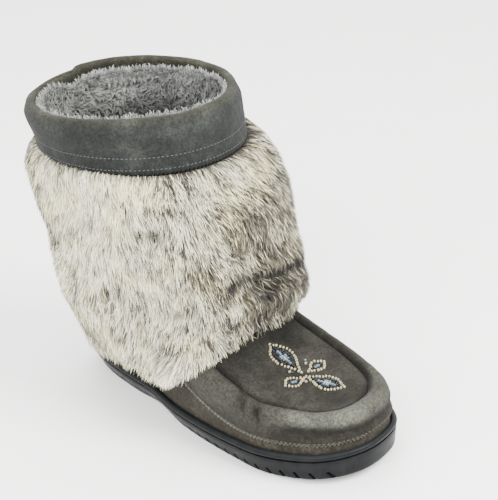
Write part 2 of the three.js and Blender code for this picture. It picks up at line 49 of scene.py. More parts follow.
# Driving dimensions, the same as the solids'
SOLE_LENGTH = 272
BALL_WIDTH = 102
HEEL_CENTRE = 36
LIP_HEIGHT = 19
FOOTBED_HEIGHT = 13
LIP_WIDTH = 4.2
TOE_SPRING = 7
ARCH_RISE = 2.5
SIDE_UNDERCUT = 7.5
TREAD_PITCH = 9.5
TREAD_WIDTH = 2
BOOT_HEIGHT = 219.5
COLLAR_LENGTH = 148.8
COLLAR_WIDTH = 134.8
COLLAR_SETBACK = 29.4
INSTEP_HEIGHT = 95
UPPER_WALL = 3
SUEDE = 1.8
ROLL_DEPTH = 5
VAMP_LENGTH = 148
PLUG_LENGTH = 134
PLUG_SEAM_ANGLE = 84
CUFF_HEIGHT = 35
RIM_CURL = 2.2
RIM_FLARE = 6
RIM_DROP = 3.5
CUFF_FLAP = 9
INSOLE_THICKNESS = 5
MOTIF_SPAN = 79
GAP = 0.3
FUR_PILE = 20

toe_y = HEEL_CENTRE - SOLE_LENGTH
vamp_back = toe_y + VAMP_LENGTH
plug_back = toe_y + PLUG_LENGTH
rim_height = BOOT_HEIGHT - SUEDE - 2 * GAP
cuff_foot = BOOT_HEIGHT - CUFF_HEIGHT
standing_height = FOOTBED_HEIGHT + GAP
upper_inset = LIP_WIDTH + GAP
collar_centre = -COLLAR_SETBACK


def table(columns, rows):
    """Rows of numbers, as one list for each named column."""
    return {name: [row[i] for row in rows] for i, name in enumerate(columns.split())}


# Sole outline: share of the length from the heel, and half widths as shares of the ball width.
OUTLINE = table("share lateral medial", [
    [0.0, 0.0, 0.0],
    [0.016, 0.13, 0.13],
    [0.06, 0.24, 0.25],
    [0.13, 0.312, 0.325],
    [0.22, 0.357, 0.35],
    [0.35, 0.4, 0.355],
    [0.48, 0.478, 0.405],
    [0.6, 0.512, 0.462],
    [0.7, 0.513, 0.494],
    [0.79, 0.495, 0.497],
    [0.87, 0.43, 0.458],
    [0.93, 0.35, 0.385],
    [0.978, 0.215, 0.25],
    [1.0, 0.03, -0.03],
])

# Foot form: roof height as a share of the instep height, and the width over which each wall rounds into it.
FOOT = table("share roof lateral medial", [
    [0.0, 0.46, 0.118, 0.118],
    [0.2, 0.6, 0.137, 0.137],
    [0.42, 0.86, 0.137, 0.118],
    [0.54, 0.74, 0.098, 0.088],
    [0.6, 0.655, 0.088, 0.074],
    [0.65, 0.59, 0.093, 0.074],
    [0.765, 0.475, 0.118, 0.078],
    [0.88, 0.41, 0.167, 0.123],
    [0.94, 0.395, 0.181, 0.167],
    [1.0, 0.39, 0.191, 0.191],
])

# Shaft form: height as a share of the boot's height, front and back as shares of the sole length, half width
# as a share of the collar's, where it is widest, and squareness.
SHAFT = table("height front back width widest power", [
    [0.09, 0.257, 0.1, 0.47, 0.03, 2.3],
    [0.22, 0.37, 0.107, 0.62, 0.1, 2.5],
    [0.35, 0.435, 0.115, 0.76, 0.155, 2.7],
    [0.5, 0.46, 0.125, 0.86, 0.168, 2.6],
    [0.67, 0.44, 0.138, 0.93, 0.15, 2.3],
    [0.84, 0.395, 0.151, 0.985, 0.118, 2.1],
])

# Fur: how far the hair tips stand off the shaft on each side as shares of the pile, how far ahead the form is
# widest as a share of the sole length, and squareness.
FUR = table("height front back lateral medial ahead power", [
    [0.34, 0.73, 0.27, 0.45, 0.58, 0.058, 3.4],
    [0.43, 0.9, 0.24, 0.36, 0.72, 0.033, 3.2],
    [0.55, 0.73, 0.18, 0.51, 0.77, 0.018, 2.6],
    [0.67, 0.91, 0.37, 0.65, 0.72, 0.02, 2.4],
    [0.775, 0.94, 0.45, 0.58, 0.58, 0.024, 2.2],
    [0.815, 0.74, 0.35, 0.44, 0.44, 0.023, 2.15],
    [0.838, 0.375, 0.12, 0.14, 0.14, 0.017, 2.1],
])

# The fur's hem and the vamp's lower edge: share of the length from the heel, and height over the sole's lip
# as a share of the instep height.
HEM = table("share rise", [
    [0.0, 0.035],
    [0.26, 0.06],
    [0.39, 0.11],
    [0.5, 0.2],
    [0.56, 0.33],
    [0.62, 0.47],
])

VAMP_EDGE = table("share rise", [
    [0.44, 0.36],
    [0.52, 0.24],
    [0.64, 0.115],
    [0.72, 0.07],
    [1.0, 0.045],
])

# How much of the side's undercut each place has, on the outer and on the inner side
UNDERCUT = table("share lateral medial", [
    [0.0, 0.73, 0.73],
    [0.3, 0.87, 1.0],
    [0.62, 0.8, 0.87],
    [0.85, 0.33, 0.33],
    [1.0, 0.2, 0.2],
])

# Bead leaves: centre from the toe and sideways, length and width as shares of the motif's span, and heading
# in degrees clockwise from the heel.
LEAVES = [
    ("back", 1.03, 0.04, 0.365, 0.155, 1),
    ("front", 0.632, 0.09, 0.33, 0.145, 159),
    ("lateral", 0.797, -0.1, 0.2, 0.085, -84),
    ("medial", 0.822, 0.19, 0.2, 0.085, 88),
]


def share_of(y):
    return (HEEL_CENTRE - y) / SOLE_LENGTH


def y_of(share):
    return HEEL_CENTRE - share * SOLE_LENGTH


def smoothstep(x, low, high):
    t = np.clip((x - low) / (high - low), 0, 1)
    return t * t * (3 - 2 * t)


def smooth(rows, key, column, x):
    """A table's column along a smooth curve through its rows, held level past its ends."""
    keys = np.array(rows[key], float)
    values = np.array(rows[column], float)
    x = np.clip(np.asarray(x, float), keys[0], keys[-1])
    slopes = np.gradient(values, keys)
    slopes[1:-1] = (values[2:] - values[:-2]) / (keys[2:] - keys[:-2])
    i = np.clip(np.searchsorted(keys, x, side="right") - 1, 0, len(keys) - 2)
    width = keys[i + 1] - keys[i]
    t = (x - keys[i]) / width
    start = (2 * t**3 - 3 * t**2 + 1) * values[i] + (t**3 - 2 * t**2 + t) * width * slopes[i]
    end = (3 * t**2 - 2 * t**3) * values[i + 1] + (t**3 - t**2) * width * slopes[i + 1]
    return start + end


SPRING_START = 0.72


def lift(y):
    """How far the toe spring raises each place."""
    ahead = np.maximum(0, share_of(np.asarray(y, float)) - SPRING_START) / (1 - SPRING_START)
    return TOE_SPRING * ahead**2


def unit(vectors):
    return vectors / np.maximum(np.linalg.norm(vectors, axis=-1, keepdims=True), 1e-9)


def across_each(values, axis=1):
    """From the place before each one to the place after it, round a closed row."""
    return np.roll(values, -1, axis) - np.roll(values, 1, axis)


def ring_angles(count):
    """Angles of evenly spaced places round a ring."""
    return np.arange(count) / count * 2 * np.pi


def walk(path):
    """Distance walked along a path up to each of its points."""
    return np.concatenate([[0], np.cumsum(np.linalg.norm(np.diff(path, axis=0), axis=1))])


def at_walk(distance, walked, path):
    """Points of a path at distances along it."""
    return np.stack([np.interp(distance, walked, column) for column in np.transpose(path)], -1)


CURVE_STEPS = 48


def closed_curve(points, count):
    """Evenly spaced points on the closed centripetal curve through the given ones."""
    t = np.arange(CURVE_STEPS)[:, None] / CURVE_STEPS
    pieces = []
    for i in range(len(points)):
        p0, p1, p2, p3 = (points[(i + k - 1) % len(points)] for k in range(4))
        d0, d1, d2 = (np.linalg.norm(b - a) ** 0.5 for a, b in ((p0, p1), (p1, p2), (p2, p3)))
        m1 = ((p1 - p0) / d0 - (p2 - p0) / (d0 + d1) + (p2 - p1) / d1) * d1
        m2 = ((p2 - p1) / d1 - (p3 - p1) / (d1 + d2) + (p3 - p2) / d2) * d1
        bend = -3 * p1 + 3 * p2 - 2 * m1 - m2
        twist = 2 * p1 - 2 * p2 + m1 + m2
        pieces.append(p1 + m1 * t + bend * t**2 + twist * t**3)
    dense = np.concatenate([*pieces, points[:1]])
    walked = walk(dense)
    return at_walk(np.arange(count) / count * walked[-1], walked, dense), walked[-1]


def outline_columns(count):
    """Columns round the sole's outline, anticlockwise from the heel, with outward normals."""
    y = y_of(np.array(OUTLINE["share"]))
    lateral = np.stack([-np.array(OUTLINE["lateral"]) * BALL_WIDTH, y], 1)
    medial = np.stack([np.array(OUTLINE["medial"]) * BALL_WIDTH, y], 1)[1:-1]
    spots, length = closed_curve(np.concatenate([lateral, medial[::-1]]), count)
    along = unit(across_each(spots, 0))
    return SimpleNamespace(
        x=spots[:, 0], y=spots[:, 1], nx=along[:, 1], ny=-along[:, 0],
        lateral=spots[:, 0] < 0, walked=np.arange(count) / count * length,
    )


def moved_in(columns, inset):
    """Plan of an outline's columns moved inwards."""
    return columns.x - columns.nx * inset, columns.y - columns.ny * inset


def some_columns(columns, chosen):
    return SimpleNamespace(**{name: values[chosen] for name, values in vars(columns).items()})


def by_side(rows, columns):
    """A table's value for each column, from the outer or the inner side's own."""
    share = share_of(columns.y)
    sides = [smooth(rows, "share", side, share) for side in ("lateral", "medial")]
    return np.where(columns.lateral, *sides)


WALL_POWER = 0.66


def roof_height(y):
    return INSTEP_HEIGHT * smooth(FOOT, "share", "roof", share_of(y))


def wall_points(columns, angles):
    """The foot's form: points up the wall at the given angles, one row of angles for each ring."""
    turn = np.radians(np.clip(angles, 0, 90))
    inward = BALL_WIDTH * by_side(FOOT, columns) * (1 - np.maximum(np.cos(turn), 0) ** WALL_POWER)
    rise = np.sin(turn) ** WALL_POWER
    x, y = moved_in(columns, upper_inset + inward)
    z = standing_height + (roof_height(y) - standing_height) * rise + lift(y)
    return np.stack([x, y, z], -1)


def grid_normals(points, around=True):
    """Outward normals of a grid of rings that run anticlockwise, from the lowest up."""
    along = across_each(points) if around else np.gradient(points, axis=1)
    return unit(np.cross(along, np.gradient(points, axis=0)))


def super_ellipse(angle, sizes):
    """Plan of an oval that is squarer or rounder by a power, with its own reach to each side."""
    def bend(value):
        return np.sign(value) * np.abs(value) ** (2 / sizes["power"])

    cos, sin = bend(np.cos(angle)), bend(np.sin(angle))
    x = cos * np.where(cos < 0, sizes["lateral"], sizes["medial"])
    reach = np.where(sin < 0, sizes["widest"] - sizes["front"], sizes["back"] - sizes["widest"])
    return x, sizes["widest"] + sin * reach


def shaft_sizes(height):
    """The shaft's plan at a height: its own form below, blended into the oval collar."""
    share = height / BOOT_HEIGHT
    half_width = COLLAR_WIDTH / 2 - SUEDE - GAP
    half_length = COLLAR_LENGTH / 2 - SUEDE - GAP
    width = half_width * smooth(SHAFT, "height", "width", share)
    sizes = {
        "front": -SOLE_LENGTH * smooth(SHAFT, "height", "front", share),
        "back": SOLE_LENGTH * smooth(SHAFT, "height", "back", share),
        "widest": -SOLE_LENGTH * smooth(SHAFT, "height", "widest", share),
        "lateral": width,
        "medial": width,
        "power": smooth(SHAFT, "height", "power", share),
    }
    collar = {
        "front": collar_centre - half_length,
        "back": collar_centre + half_length,
        "widest": collar_centre,
        "lateral": half_width,
        "medial": half_width,
        "power": 2,
    }
    t = smoothstep(height, cuff_foot - CUFF_HEIGHT, rim_height)
    return {key: sizes[key] + (collar[key] - sizes[key]) * t for key in sizes}


SLUMP_HEADING = math.radians(145)


def shaft_rings(heights, outward, over, count):
    """Rings of the shaft's form moved out by a distance and raised over its level, one of each for a ring."""
    heights, outward, over = (np.asarray(v, float)[:, None] for v in (heights, outward, over))
    level = np.minimum(heights, rim_height)
    angle = ring_angles(count)[None, :]
    x, y = super_ellipse(angle, shaft_sizes(level))
    dx, dy = across_each(x), across_each(y)
    length = np.hypot(dx, dy)
    slump = smoothstep(level, cuff_foot, rim_height) * np.maximum(0, np.cos(angle - SLUMP_HEADING)) ** 2
    curl = RIM_CURL * smoothstep(level, rim_height - 3 * RIM_CURL, rim_height)
    move = outward + RIM_FLARE * slump - curl
    z = heights + over - RIM_DROP * slump
    return np.stack([x + dy / length * move, y - dx / length * move, np.broadcast_to(z, x.shape)], -1)


def lattice_noise(points, size, seed):
    """Smooth noise between -1 and 1 with cells of one size."""
    scaled = points / size
    base = np.floor(scaled).astype(np.int64)
    part = scaled - base
    part = part * part * (3 - 2 * part)
    total = np.zeros(points.shape[:-1])
    for corner in np.ndindex(2, 2, 2):
        cell = base + corner
        mixed = cell[..., 0] * 73856093 ^ cell[..., 1] * 19349663 ^ cell[..., 2] * 83492791 ^ seed * 2654435
        mixed = (mixed ^ (mixed >> 13)) * 1274126177 & 0x7FFFFFFF
        mixed = (mixed ^ (mixed >> 15)) * 668265263 & 0x7FFFFFFF
        weight = np.prod(np.where(corner, part, 1 - part), axis=-1)
        total += weight * (mixed / 0x3FFFFFFF - 1)
    return total


def near_segment(points, start, end):
    """Distance to a segment, and how far along it the nearest place is."""
    start, end = np.array(start, float), np.array(end, float)
    along = np.clip((points - start) @ (end - start) / ((end - start) @ (end - start)), 0, 1)
    return np.linalg.norm(points - start - along[..., None] * (end - start), axis=-1), along


def add_patches(total, points, patches):
    """Adds soft round patches, each with a centre, a radius and a strength."""
    for centre, radius, strength in patches:
        distance = np.linalg.norm(points - np.array(centre, float), axis=1)
        total = total + strength * np.exp(-((distance / radius) ** 2))
    return total


def hand_creases(points, creases):
    """Height of soft ridges and troughs, each a segment with a width and a height, fading at its ends."""
    total = np.zeros(points.shape[:-1])
    for start, end, width, height in creases:
        distance, along = near_segment(points, start, end)
        total += height * np.exp(-((distance / width) ** 2)) * (0.35 + 0.65 * np.sin(np.pi * along))
    return total


# Mesh helpers
def paint(mesh, attributes):
    """Attributes that the materials read: one number for each point, or a colour in a row of three."""
    for key, values in attributes.items():
        values = np.asarray(values, np.float32)
        if values.ndim == 1:
            mesh.attributes.new(key, "FLOAT", "POINT").data.foreach_set("value", values)
        else:
            rgba = np.concatenate([values, np.ones((len(values), 1), np.float32)], 1)
            mesh.color_attributes.new(key, "FLOAT_COLOR", "POINT").data.foreach_set("color", rgba.ravel())


def put(name, data):
    """A new object in the scene."""
    thing = bpy.data.objects.new(name, data)
    bpy.context.scene.collection.objects.link(thing)
    return thing


def new_object(name, points, faces, attributes=None):
    """A mesh object from points in millimetres and lists of faces with the same number of corners."""
    mesh = bpy.data.meshes.new(name)
    points = np.asarray(points, float).reshape(-1, 3)
    faces = [np.asarray(f, np.int64) for f in faces if len(f)]
    mesh.vertices.add(len(points))
    mesh.vertices.foreach_set("co", (points * MM).astype(np.float32).ravel())
    corners = np.concatenate([f.ravel() for f in faces])
    totals = np.concatenate([np.full(len(f), f.shape[1]) for f in faces])
    mesh.loops.add(len(corners))
    mesh.loops.foreach_set("vertex_index", corners.astype(np.int32))
    mesh.polygons.add(len(totals))
    mesh.polygons.foreach_set("loop_start", (np.cumsum(totals) - totals).astype(np.int32))
    mesh.polygons.foreach_set("use_smooth", np.full(len(totals), True))
    mesh.update(calc_edges=True)
    paint(mesh, attributes or {})
    return put(name, mesh)


def grid_faces(rows, count, rows_close, columns_close):
    r = np.arange(rows if rows_close else rows - 1)[:, None]
    c = np.arange(count if columns_close else count - 1)[None, :]
    above, beside = (r + 1) % rows, (c + 1) % count
    quads = [r * count + c, r * count + beside, above * count + beside, above * count + c]
    return np.stack([np.broadcast_to(q, (r.size, c.size)) for q in quads], -1).reshape(-1, 4)


def cap_faces(first, count, step, flip):
    """Fan over a ring of vertices that ends a tube."""
    ring = first + np.arange(count) * step
    fan = np.stack([np.full(count - 2, ring[0]), ring[1:-1], ring[2:]], 1)
    return fan[:, ::-1] if flip else fan


def zip_faces(ring, first, facing_up):
    """Triangles across a ring which starts at the heel, in strips from one side of the foot to the other."""
    count = len(ring)
    toe = int(np.argmin(ring[:, 1]))
    left, right, triangles = 0, count, []
    while right - left > 1:
        left_y = ring[left + 1, 1] if left < toe else -np.inf
        right_y = ring[(right - 1) % count, 1] if right > toe else -np.inf
        onward = left + 1 if left_y > right_y else right - 1
        corners = [first + i % count for i in (left, onward, right)]
        if len(set(corners)) == 3:
            triangles.append(corners if facing_up else corners[::-1])
        if left_y > right_y:
            left += 1
        else:
            right -= 1
    return np.array(triangles)


def ring_object(name, rings, zipped=True):
    """A closed solid through rings, closed in strips across the foot or by a fan."""
    rows, count = rings.shape[:2]
    faces = [grid_faces(rows, count, False, True)]
    last = (rows - 1) * count
    if zipped:
        ends = [zip_faces(rings[0], 0, False), zip_faces(rings[-1], last, True)]
    else:
        ends = [cap_faces(0, count, 1, True), cap_faces(last, count, 1, False)]
    return new_object(name, rings.reshape(-1, 3), faces + ends)


def join_or_cut(base, other, operation):
    """Joins or cuts one closed mesh by another and removes the other."""
    modifier = base.modifiers.new("shape", "BOOLEAN")
    modifier.operation = operation
    modifier.object = other
    modifier.solver = "MANIFOLD"
    bpy.context.view_layer.update()
    result = bpy.data.meshes.new_from_object(base.evaluated_get(bpy.context.evaluated_depsgraph_get()))
    base.modifiers.clear()
    base.data = result
    bpy.data.objects.remove(other)
    return base


def crisp(piece, degrees):
    """Smooth shading with sharp edges past an angle."""
    bpy.context.view_layer.objects.active = piece
    piece.select_set(True)
    bpy.ops.object.shade_smooth_by_angle(angle=math.radians(degrees))
    piece.select_set(False)


def settle(piece, material, replaced=()):
    """Rides on the boot's one body, with its material and the solids that it stands for."""
    piece.data.materials.clear()
    piece.data.materials.append(material)
    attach(piece, "root")
    if replaced:
        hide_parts(*replaced)


def own_axes(along, up):
    """Axes of each small shape: along, across and up."""
    return np.stack([along, np.cross(up, along), up], 1)


def upright_to(vectors, up):
    """Unit vectors turned square to the up directions."""
    return unit(vectors - up * np.sum(vectors * up, -1, keepdims=True))


def scatter(name, shape, faces, places, axes, sizes, attributes=None):
    """One mesh of many copies of a small shape, each with its own axes and size."""
    turned = np.einsum("vk,nkj->nvj", shape, axes * sizes[:, :, None])
    points = turned + places[:, None, :]
    count = len(shape)
    every = [(f[None] + np.arange(len(places))[:, None, None] * count).reshape(-1, f.shape[1]) for f in faces]
    spread = {key: np.repeat(values, count, axis=0) for key, values in (attributes or {}).items()}
    return new_object(name, points.reshape(-1, 3), every, spread)


# Materials
class Shader:
    """A material whose nodes are added one by one."""

    def __init__(self, name, **settings):
        self.material = bpy.data.materials.new(name)
        self.material.use_nodes = True
        self.nodes = self.material.node_tree.nodes
        self.links = self.material.node_tree.links
        self.shader = self.nodes["Principled BSDF"]
        for socket, value in settings.items():
            self.shader.inputs[socket.replace("_", " ")].default_value = value
        self.place = self.add("ShaderNodeTexCoord").outputs["Object"]

    def give(self, socket, value):
        """Links another node's output to a socket, or sets the socket to a value."""
        if isinstance(value, bpy.types.NodeSocket):
            self.links.new(value, socket)
        else:
            socket.default_value = value

    def add(self, kind, **inputs):
        node = self.nodes.new(kind)
        for name, value in inputs.items():
            self.give(node.inputs[name.replace("_", " ")], value)
        return node

    def noise(self, size, detail=2.0, roughness=0.5, stretch=None):
        """Noise whose cells have a size in millimetres, drawn out along an axis if asked."""
        place = self.place
        if stretch:
            place = self.add("ShaderNodeMapping", Vector=place, Scale=stretch).outputs["Vector"]
        sizes = {"Scale": 1 / (size * MM), "Detail": detail, "Roughness": roughness}
        return self.add("ShaderNodeTexNoise", Vector=place, **sizes).outputs["Fac"]

    def spread(self, value, low, high, to_low=0.0, to_high=1.0):
        """A value between two limits, spread from one number to another."""
        limits = {"From_Min": low, "From_Max": high, "To_Min": to_low, "To_Max": to_high}
        return self.add("ShaderNodeMapRange", Value=value, **limits).outputs["Result"]

    def math(self, operation, a, b):
        node = self.nodes.new("ShaderNodeMath")
        node.operation = operation
        self.give(node.inputs[0], a)
        self.give(node.inputs[1], b)
        return node.outputs[0]

    def mix(self, factor, a, b, blend="MIX"):
        node = self.nodes.new("ShaderNodeMix")
        node.data_type = "RGBA"
        node.blend_type = blend
        self.give(node.inputs[0], factor)
        for socket, colour in ((node.inputs[6], a), (node.inputs[7], b)):
            self.give(socket, colour if isinstance(colour, bpy.types.NodeSocket) else (*colour, 1))
        return node.outputs[2]

    def shade(self, colour, value, low, high, darkest, palest):
        """A colour made darker and paler by a value between two limits."""
        grey = self.mix(self.spread(value, low, high), (darkest,) * 3, (palest,) * 3)
        return self.mix(1.0, colour, grey, "MULTIPLY")

    def painted(self, name, output="Fac"):
        node = self.nodes.new("ShaderNodeAttribute")
        node.attribute_name = name
        return node.outputs[output]

    def finish(self, colour, roughness=None, height=None, strength=0.5, depth=0.3):
        """The finished material, with a bump of some strength and of a depth in millimetres."""
        self.links.new(colour, self.shader.inputs["Base Color"])
        if roughness is not None:
            self.links.new(roughness, self.shader.inputs["Roughness"])
        if height is not None:
            bump = self.add("ShaderNodeBump", Height=height, Strength=strength, Distance=depth * MM)
            self.links.new(bump.outputs["Normal"], self.shader.inputs["Normal"])
        return self.material


def suede(name, dark, light, rubbed_and_highlit):
    """Napped leather: broad brushed patches, fine fibres, and paler places painted from an attribute, partly
    worn suede and partly painted highlight.
    """
    s = Shader(name, Sheen_Weight=0.04, Sheen_Roughness=0.5, Specular_IOR_Level=0.06)
    patches = s.spread(s.noise(17, 3, 0.6), 0.35, 0.65)
    smudges = s.spread(s.noise(4.5, 3, 0.65), 0.35, 0.68)
    fibres = s.noise(0.75, 3, 0.75)
    flecks = s.noise(1.9, 3, 0.7)
    colour = s.mix(s.math("MULTIPLY", patches, smudges), dark, light)
    # Paler where the attribute is high: worn suede, and a painted highlight where light falls on it.
    rub_and_highlight = s.math("MULTIPLY", s.painted("wear_and_highlight"), s.spread(flecks, 0.3, 0.62, 0.62, 1.15))
    colour = s.mix(rub_and_highlight, colour, rubbed_and_highlit)
    colour = s.shade(colour, fibres, 0.3, 0.7, 0.6, 1.4)
    colour = s.shade(colour, flecks, 0.32, 0.68, 0.72, 1.28)
    # Multiplied by a painted colour that carries the piece's own colour and its painted shade.
    colour = s.mix(1.0, colour, s.painted("tint_and_shade", "Color"), "MULTIPLY")
    height = s.math("ADD", fibres, s.math("MULTIPLY", flecks, 0.8))
    return s.finish(colour, s.spread(fibres, 0.2, 0.8, 1.0, 0.82), height, 0.6, 0.5)


def rubber():
    s = Shader("rubber", Specular_IOR_Level=0.07)
    dust = s.spread(s.noise(9, 4, 0.65), 0.42, 0.75)
    grain = s.noise(0.5, 2, 0.6)
    colour = s.mix(dust, (0.0038, 0.0043, 0.0048), (0.009, 0.0098, 0.0104))
    # Paler where painted: worn rubber, and a painted highlight along the lip.
    colour = s.mix(s.painted("wear_and_highlight"), colour, (0.017, 0.0195, 0.021))
    return s.finish(colour, s.spread(dust, 0, 1, 0.4, 0.56), grain, 0.12, 0.15)


def hair():
    s = Shader("fur", Roughness=0.62, Specular_IOR_Level=0.2, Sheen_Weight=0.03)
    return s.finish(s.shade(s.painted("tint_and_shade", "Color"), s.noise(1.2, 2), 0.35, 0.65, 0.86, 1.1))


def undercoat():
    s = Shader("undercoat", Roughness=0.95, Specular_IOR_Level=0.1)
    fluff = s.noise(1.3, 4, 0.7, stretch=(1, 1, 0.25))
    colour = s.mix(s.spread(fluff, 0.35, 0.65), (0.05, 0.047, 0.041), (0.2, 0.19, 0.165))
    return s.finish(colour, None, fluff, 0.8, 1.0)


def fleece():
    s = Shader("fleece", Roughness=0.95, Specular_IOR_Level=0.1, Sheen_Weight=0.08, Sheen_Roughness=0.6)
    curls = s.noise(1.6, 4, 0.7)
    return s.finish(s.shade(s.painted("tint_and_shade", "Color"), curls, 0.35, 0.65, 0.8, 1.2), None, curls, 0.7, 0.8)


def glass():
    s = Shader("seed_beads", Coat_Weight=0.15, Coat_Roughness=0.12, Roughness=0.28, Specular_IOR_Level=0.3)
    return s.finish(s.shade(s.painted("tint_and_shade", "Color"), s.noise(0.6, 2), 0.35, 0.65, 0.85, 1.15))


def thread(name, colour):
    s = Shader(name, Roughness=0.75, Sheen_Weight=0.05, Specular_IOR_Level=0.2)
    ply = s.noise(0.35, 2, 0.6)
    return s.finish(s.mix(s.spread(ply, 0.3, 0.7), [c * 0.7 for c in colour], colour), None, ply, 0.5, 0.15)


def pale_floor():
    s = Shader("pale_floor", Roughness=0.55, Specular_IOR_Level=0.2)
    mottle = s.spread(s.noise(60, 3), 0.3, 0.7)
    return s.finish(s.mix(mottle, (0.95, 0.95, 0.945), (0.97, 0.97, 0.965)))


vamp_suede = suede("vamp_suede", (0.011, 0.0106, 0.0088), (0.0225, 0.0218, 0.0184), (0.086, 0.088, 0.0755))
quarter_suede = suede("quarter_suede", (0.0175, 0.0157, 0.012), (0.036, 0.0325, 0.025), (0.08, 0.076, 0.06))
cuff_suede = suede("cuff_suede", (0.0128, 0.0143, 0.0136), (0.0236, 0.0258, 0.0247), (0.074, 0.075, 0.065))
rubber_finish = rubber()
hair_finish = hair()
undercoat_finish = undercoat()
fleece_finish = fleece()
glass_finish = glass()
grey_thread = thread("grey_thread", (0.07, 0.075, 0.075))
brown_thread = thread("brown_thread", (0.04, 0.036, 0.028))


def plain_paint(points):
    return {"wear_and_highlight": np.zeros(len(points)), "tint_and_shade": np.ones((len(points), 3))}


# Camera, fitted to the sole's outline and the rim: where it looks from and to, and its roll
CAMERA_AT = (-586.92, -764.37, 532.54)
CAMERA_RIGHT = (0.71185, -0.69942, -0.06382)
CAMERA_UP = (0.33950, 0.26314, 0.90305)
FOCAL_PIXELS = 1472.2
PICTURE_PIXELS = 500
SENSOR = 36


def make_camera():
    data = bpy.data.cameras.new("camera")
    data.sensor_width = SENSOR
    data.lens = FOCAL_PIXELS / PICTURE_PIXELS * SENSOR
    data.clip_start, data.clip_end = 0.05, 50
    camera = put("camera", data)
    right, up = Vector(CAMERA_RIGHT).normalized(), Vector(CAMERA_UP)
    back = right.cross(up).normalized()
    up = back.cross(right)
    turn = Matrix((right, up, back)).transposed().to_4x4()
    camera.matrix_world = Matrix.Translation(Vector(CAMERA_AT) * MM) @ turn
    bpy.context.scene.camera = camera


# Lights: name, place in metres, size, power and colour
LIGHTS = [
    ("key", (0.4, -1.45, 1.6), 1.0, 100, (1, 0.985, 0.96)),
    ("fill", (-1.5, -0.7, 1.0), 1.4, 64, (1, 1, 1)),
    ("top", (0.2, 0.6, 1.9), 1.2, 38, (1, 1, 1)),
]
LIGHT_AIM = (0, -0.09, 0.1)
SKY_COLOUR = (1.0, 0.995, 0.975, 1)
SKY_STRENGTH = 2.15
FLOOR_REACH = 2500


def area_light(name, place, size, power, colour):
    data = bpy.data.lights.new(name, "AREA")
    data.shape, data.size, data.energy, data.color = "SQUARE", size, power, colour
    light = put(name, data)
    light.location = place
    light.rotation_mode = "QUATERNION"
    light.rotation_quaternion = (Vector(LIGHT_AIM) - Vector(place)).to_track_quat("-Z", "Y")


def studio():
    world = bpy.data.worlds.new("studio")
    bpy.context.scene.world = world
    world.use_nodes = True
    background = world.node_tree.nodes["Background"]
    background.inputs["Color"].default_value = SKY_COLOUR
    background.inputs["Strength"].default_value = SKY_STRENGTH
    for light in LIGHTS:
        area_light(*light)
    corners = FLOOR_REACH * np.array([[-1, -1, 0], [1, -1, 0], [1, 1, 0], [-1, 1, 0]])
    floor = new_object("floor", corners, [np.array([[0, 1, 2, 3]])])
    floor.data.materials.append(pale_floor())


# Outsole: the side's profile from the tread up and over the lip. Height in millimetres, inset from the
# outline, and the share of the undercut that reaches it.
SOLE_SIDE = [
    (0.0, 3.2, 1.0),
    (0.0, 2.0, 1.0),
    (0.35, 0.9, 1.0),
    (1.1, 0.25, 1.0),
    (2.4, 0.1, 0.95),
    (5.0, 0.2, 0.75),
    (8.0, 0.3, 0.48),
    (10.6, 0.4, 0.2),
    (12.6, 0.45, 0.1),
    (13.4, 0.6, 0.08),
    (13.7, 1.1, 0.05),
    (13.9, 1.9, 0.04),
    (14.3, 2.1, 0.03),
    (14.65, 1.8, 0.02),
    (14.8, 1.1, 0.0),
    (15.1, 0.5, 0.0),
    (15.7, 0.12, 0.0),
    (16.4, 0.0, 0.0),
    (17.1, 0.12, 0.0),
    (17.8, 0.5, 0.0),
    (18.3, 1.15, 0.0),
    (18.6, 2.0, 0.0),
    (18.55, 2.9, 0.0),
    (18.2, 3.6, 0.0),
    (17.4, 4.1, 0.0),
    (15.0, 4.2, 0.0),
    (13.0, 4.2, 0.0),
]
SOLE_COLUMNS = 520
SLOT_HEIGHT = 6.2
TREAD_ZONES = ((0.52, 0.98), (0.02, 0.24))
TREAD_LEAN = math.radians(-34)
HEEL_PAD = 14
ARCH_START = 0.27
ARCH_END = 0.5
LIP_RUB_AND_HIGHLIGHT = 0.5
TREAD_RUB = 0.25
SOLE_SHARP_EDGE = 34


def arch_rise(y):
    t = np.clip((share_of(y) - ARCH_START) / (ARCH_END - ARCH_START), 0, 1)
    return ARCH_RISE * np.sin(np.pi * t) ** 2


def tread_bars():
    """Bars that cut the cross grooves. Their ends show as leaning slots in the sole's side."""
    corners = np.array([[x, y, z] for z in (-1, 1) for y in (-1, 1) for x in (-1, 1)], float)
    half = np.array([BALL_WIDTH, TREAD_WIDTH / 2, SLOT_HEIGHT])
    faces = np.array([[0, 2, 3, 1], [4, 5, 7, 6], [0, 1, 5, 4], [2, 6, 7, 3], [0, 4, 6, 2], [1, 3, 7, 5]])
    cos, sin = math.cos(TREAD_LEAN), math.sin(TREAD_LEAN)
    lean = np.array([[1, 0, 0], [0, cos, sin], [0, -sin, cos]])
    places = []
    for start, end in TREAD_ZONES:
        y = y_of(start) - TREAD_PITCH / 2
        while y > y_of(end):
            if abs(y) >= HEEL_PAD:
                places.append([0, y, float(lift(y))])
            y -= TREAD_PITCH
    places = np.array(places)
    axes = np.tile(lean, (len(places), 1, 1))
    return scatter("bars", corners * half, [faces], places, axes, np.ones((len(places), 3)))


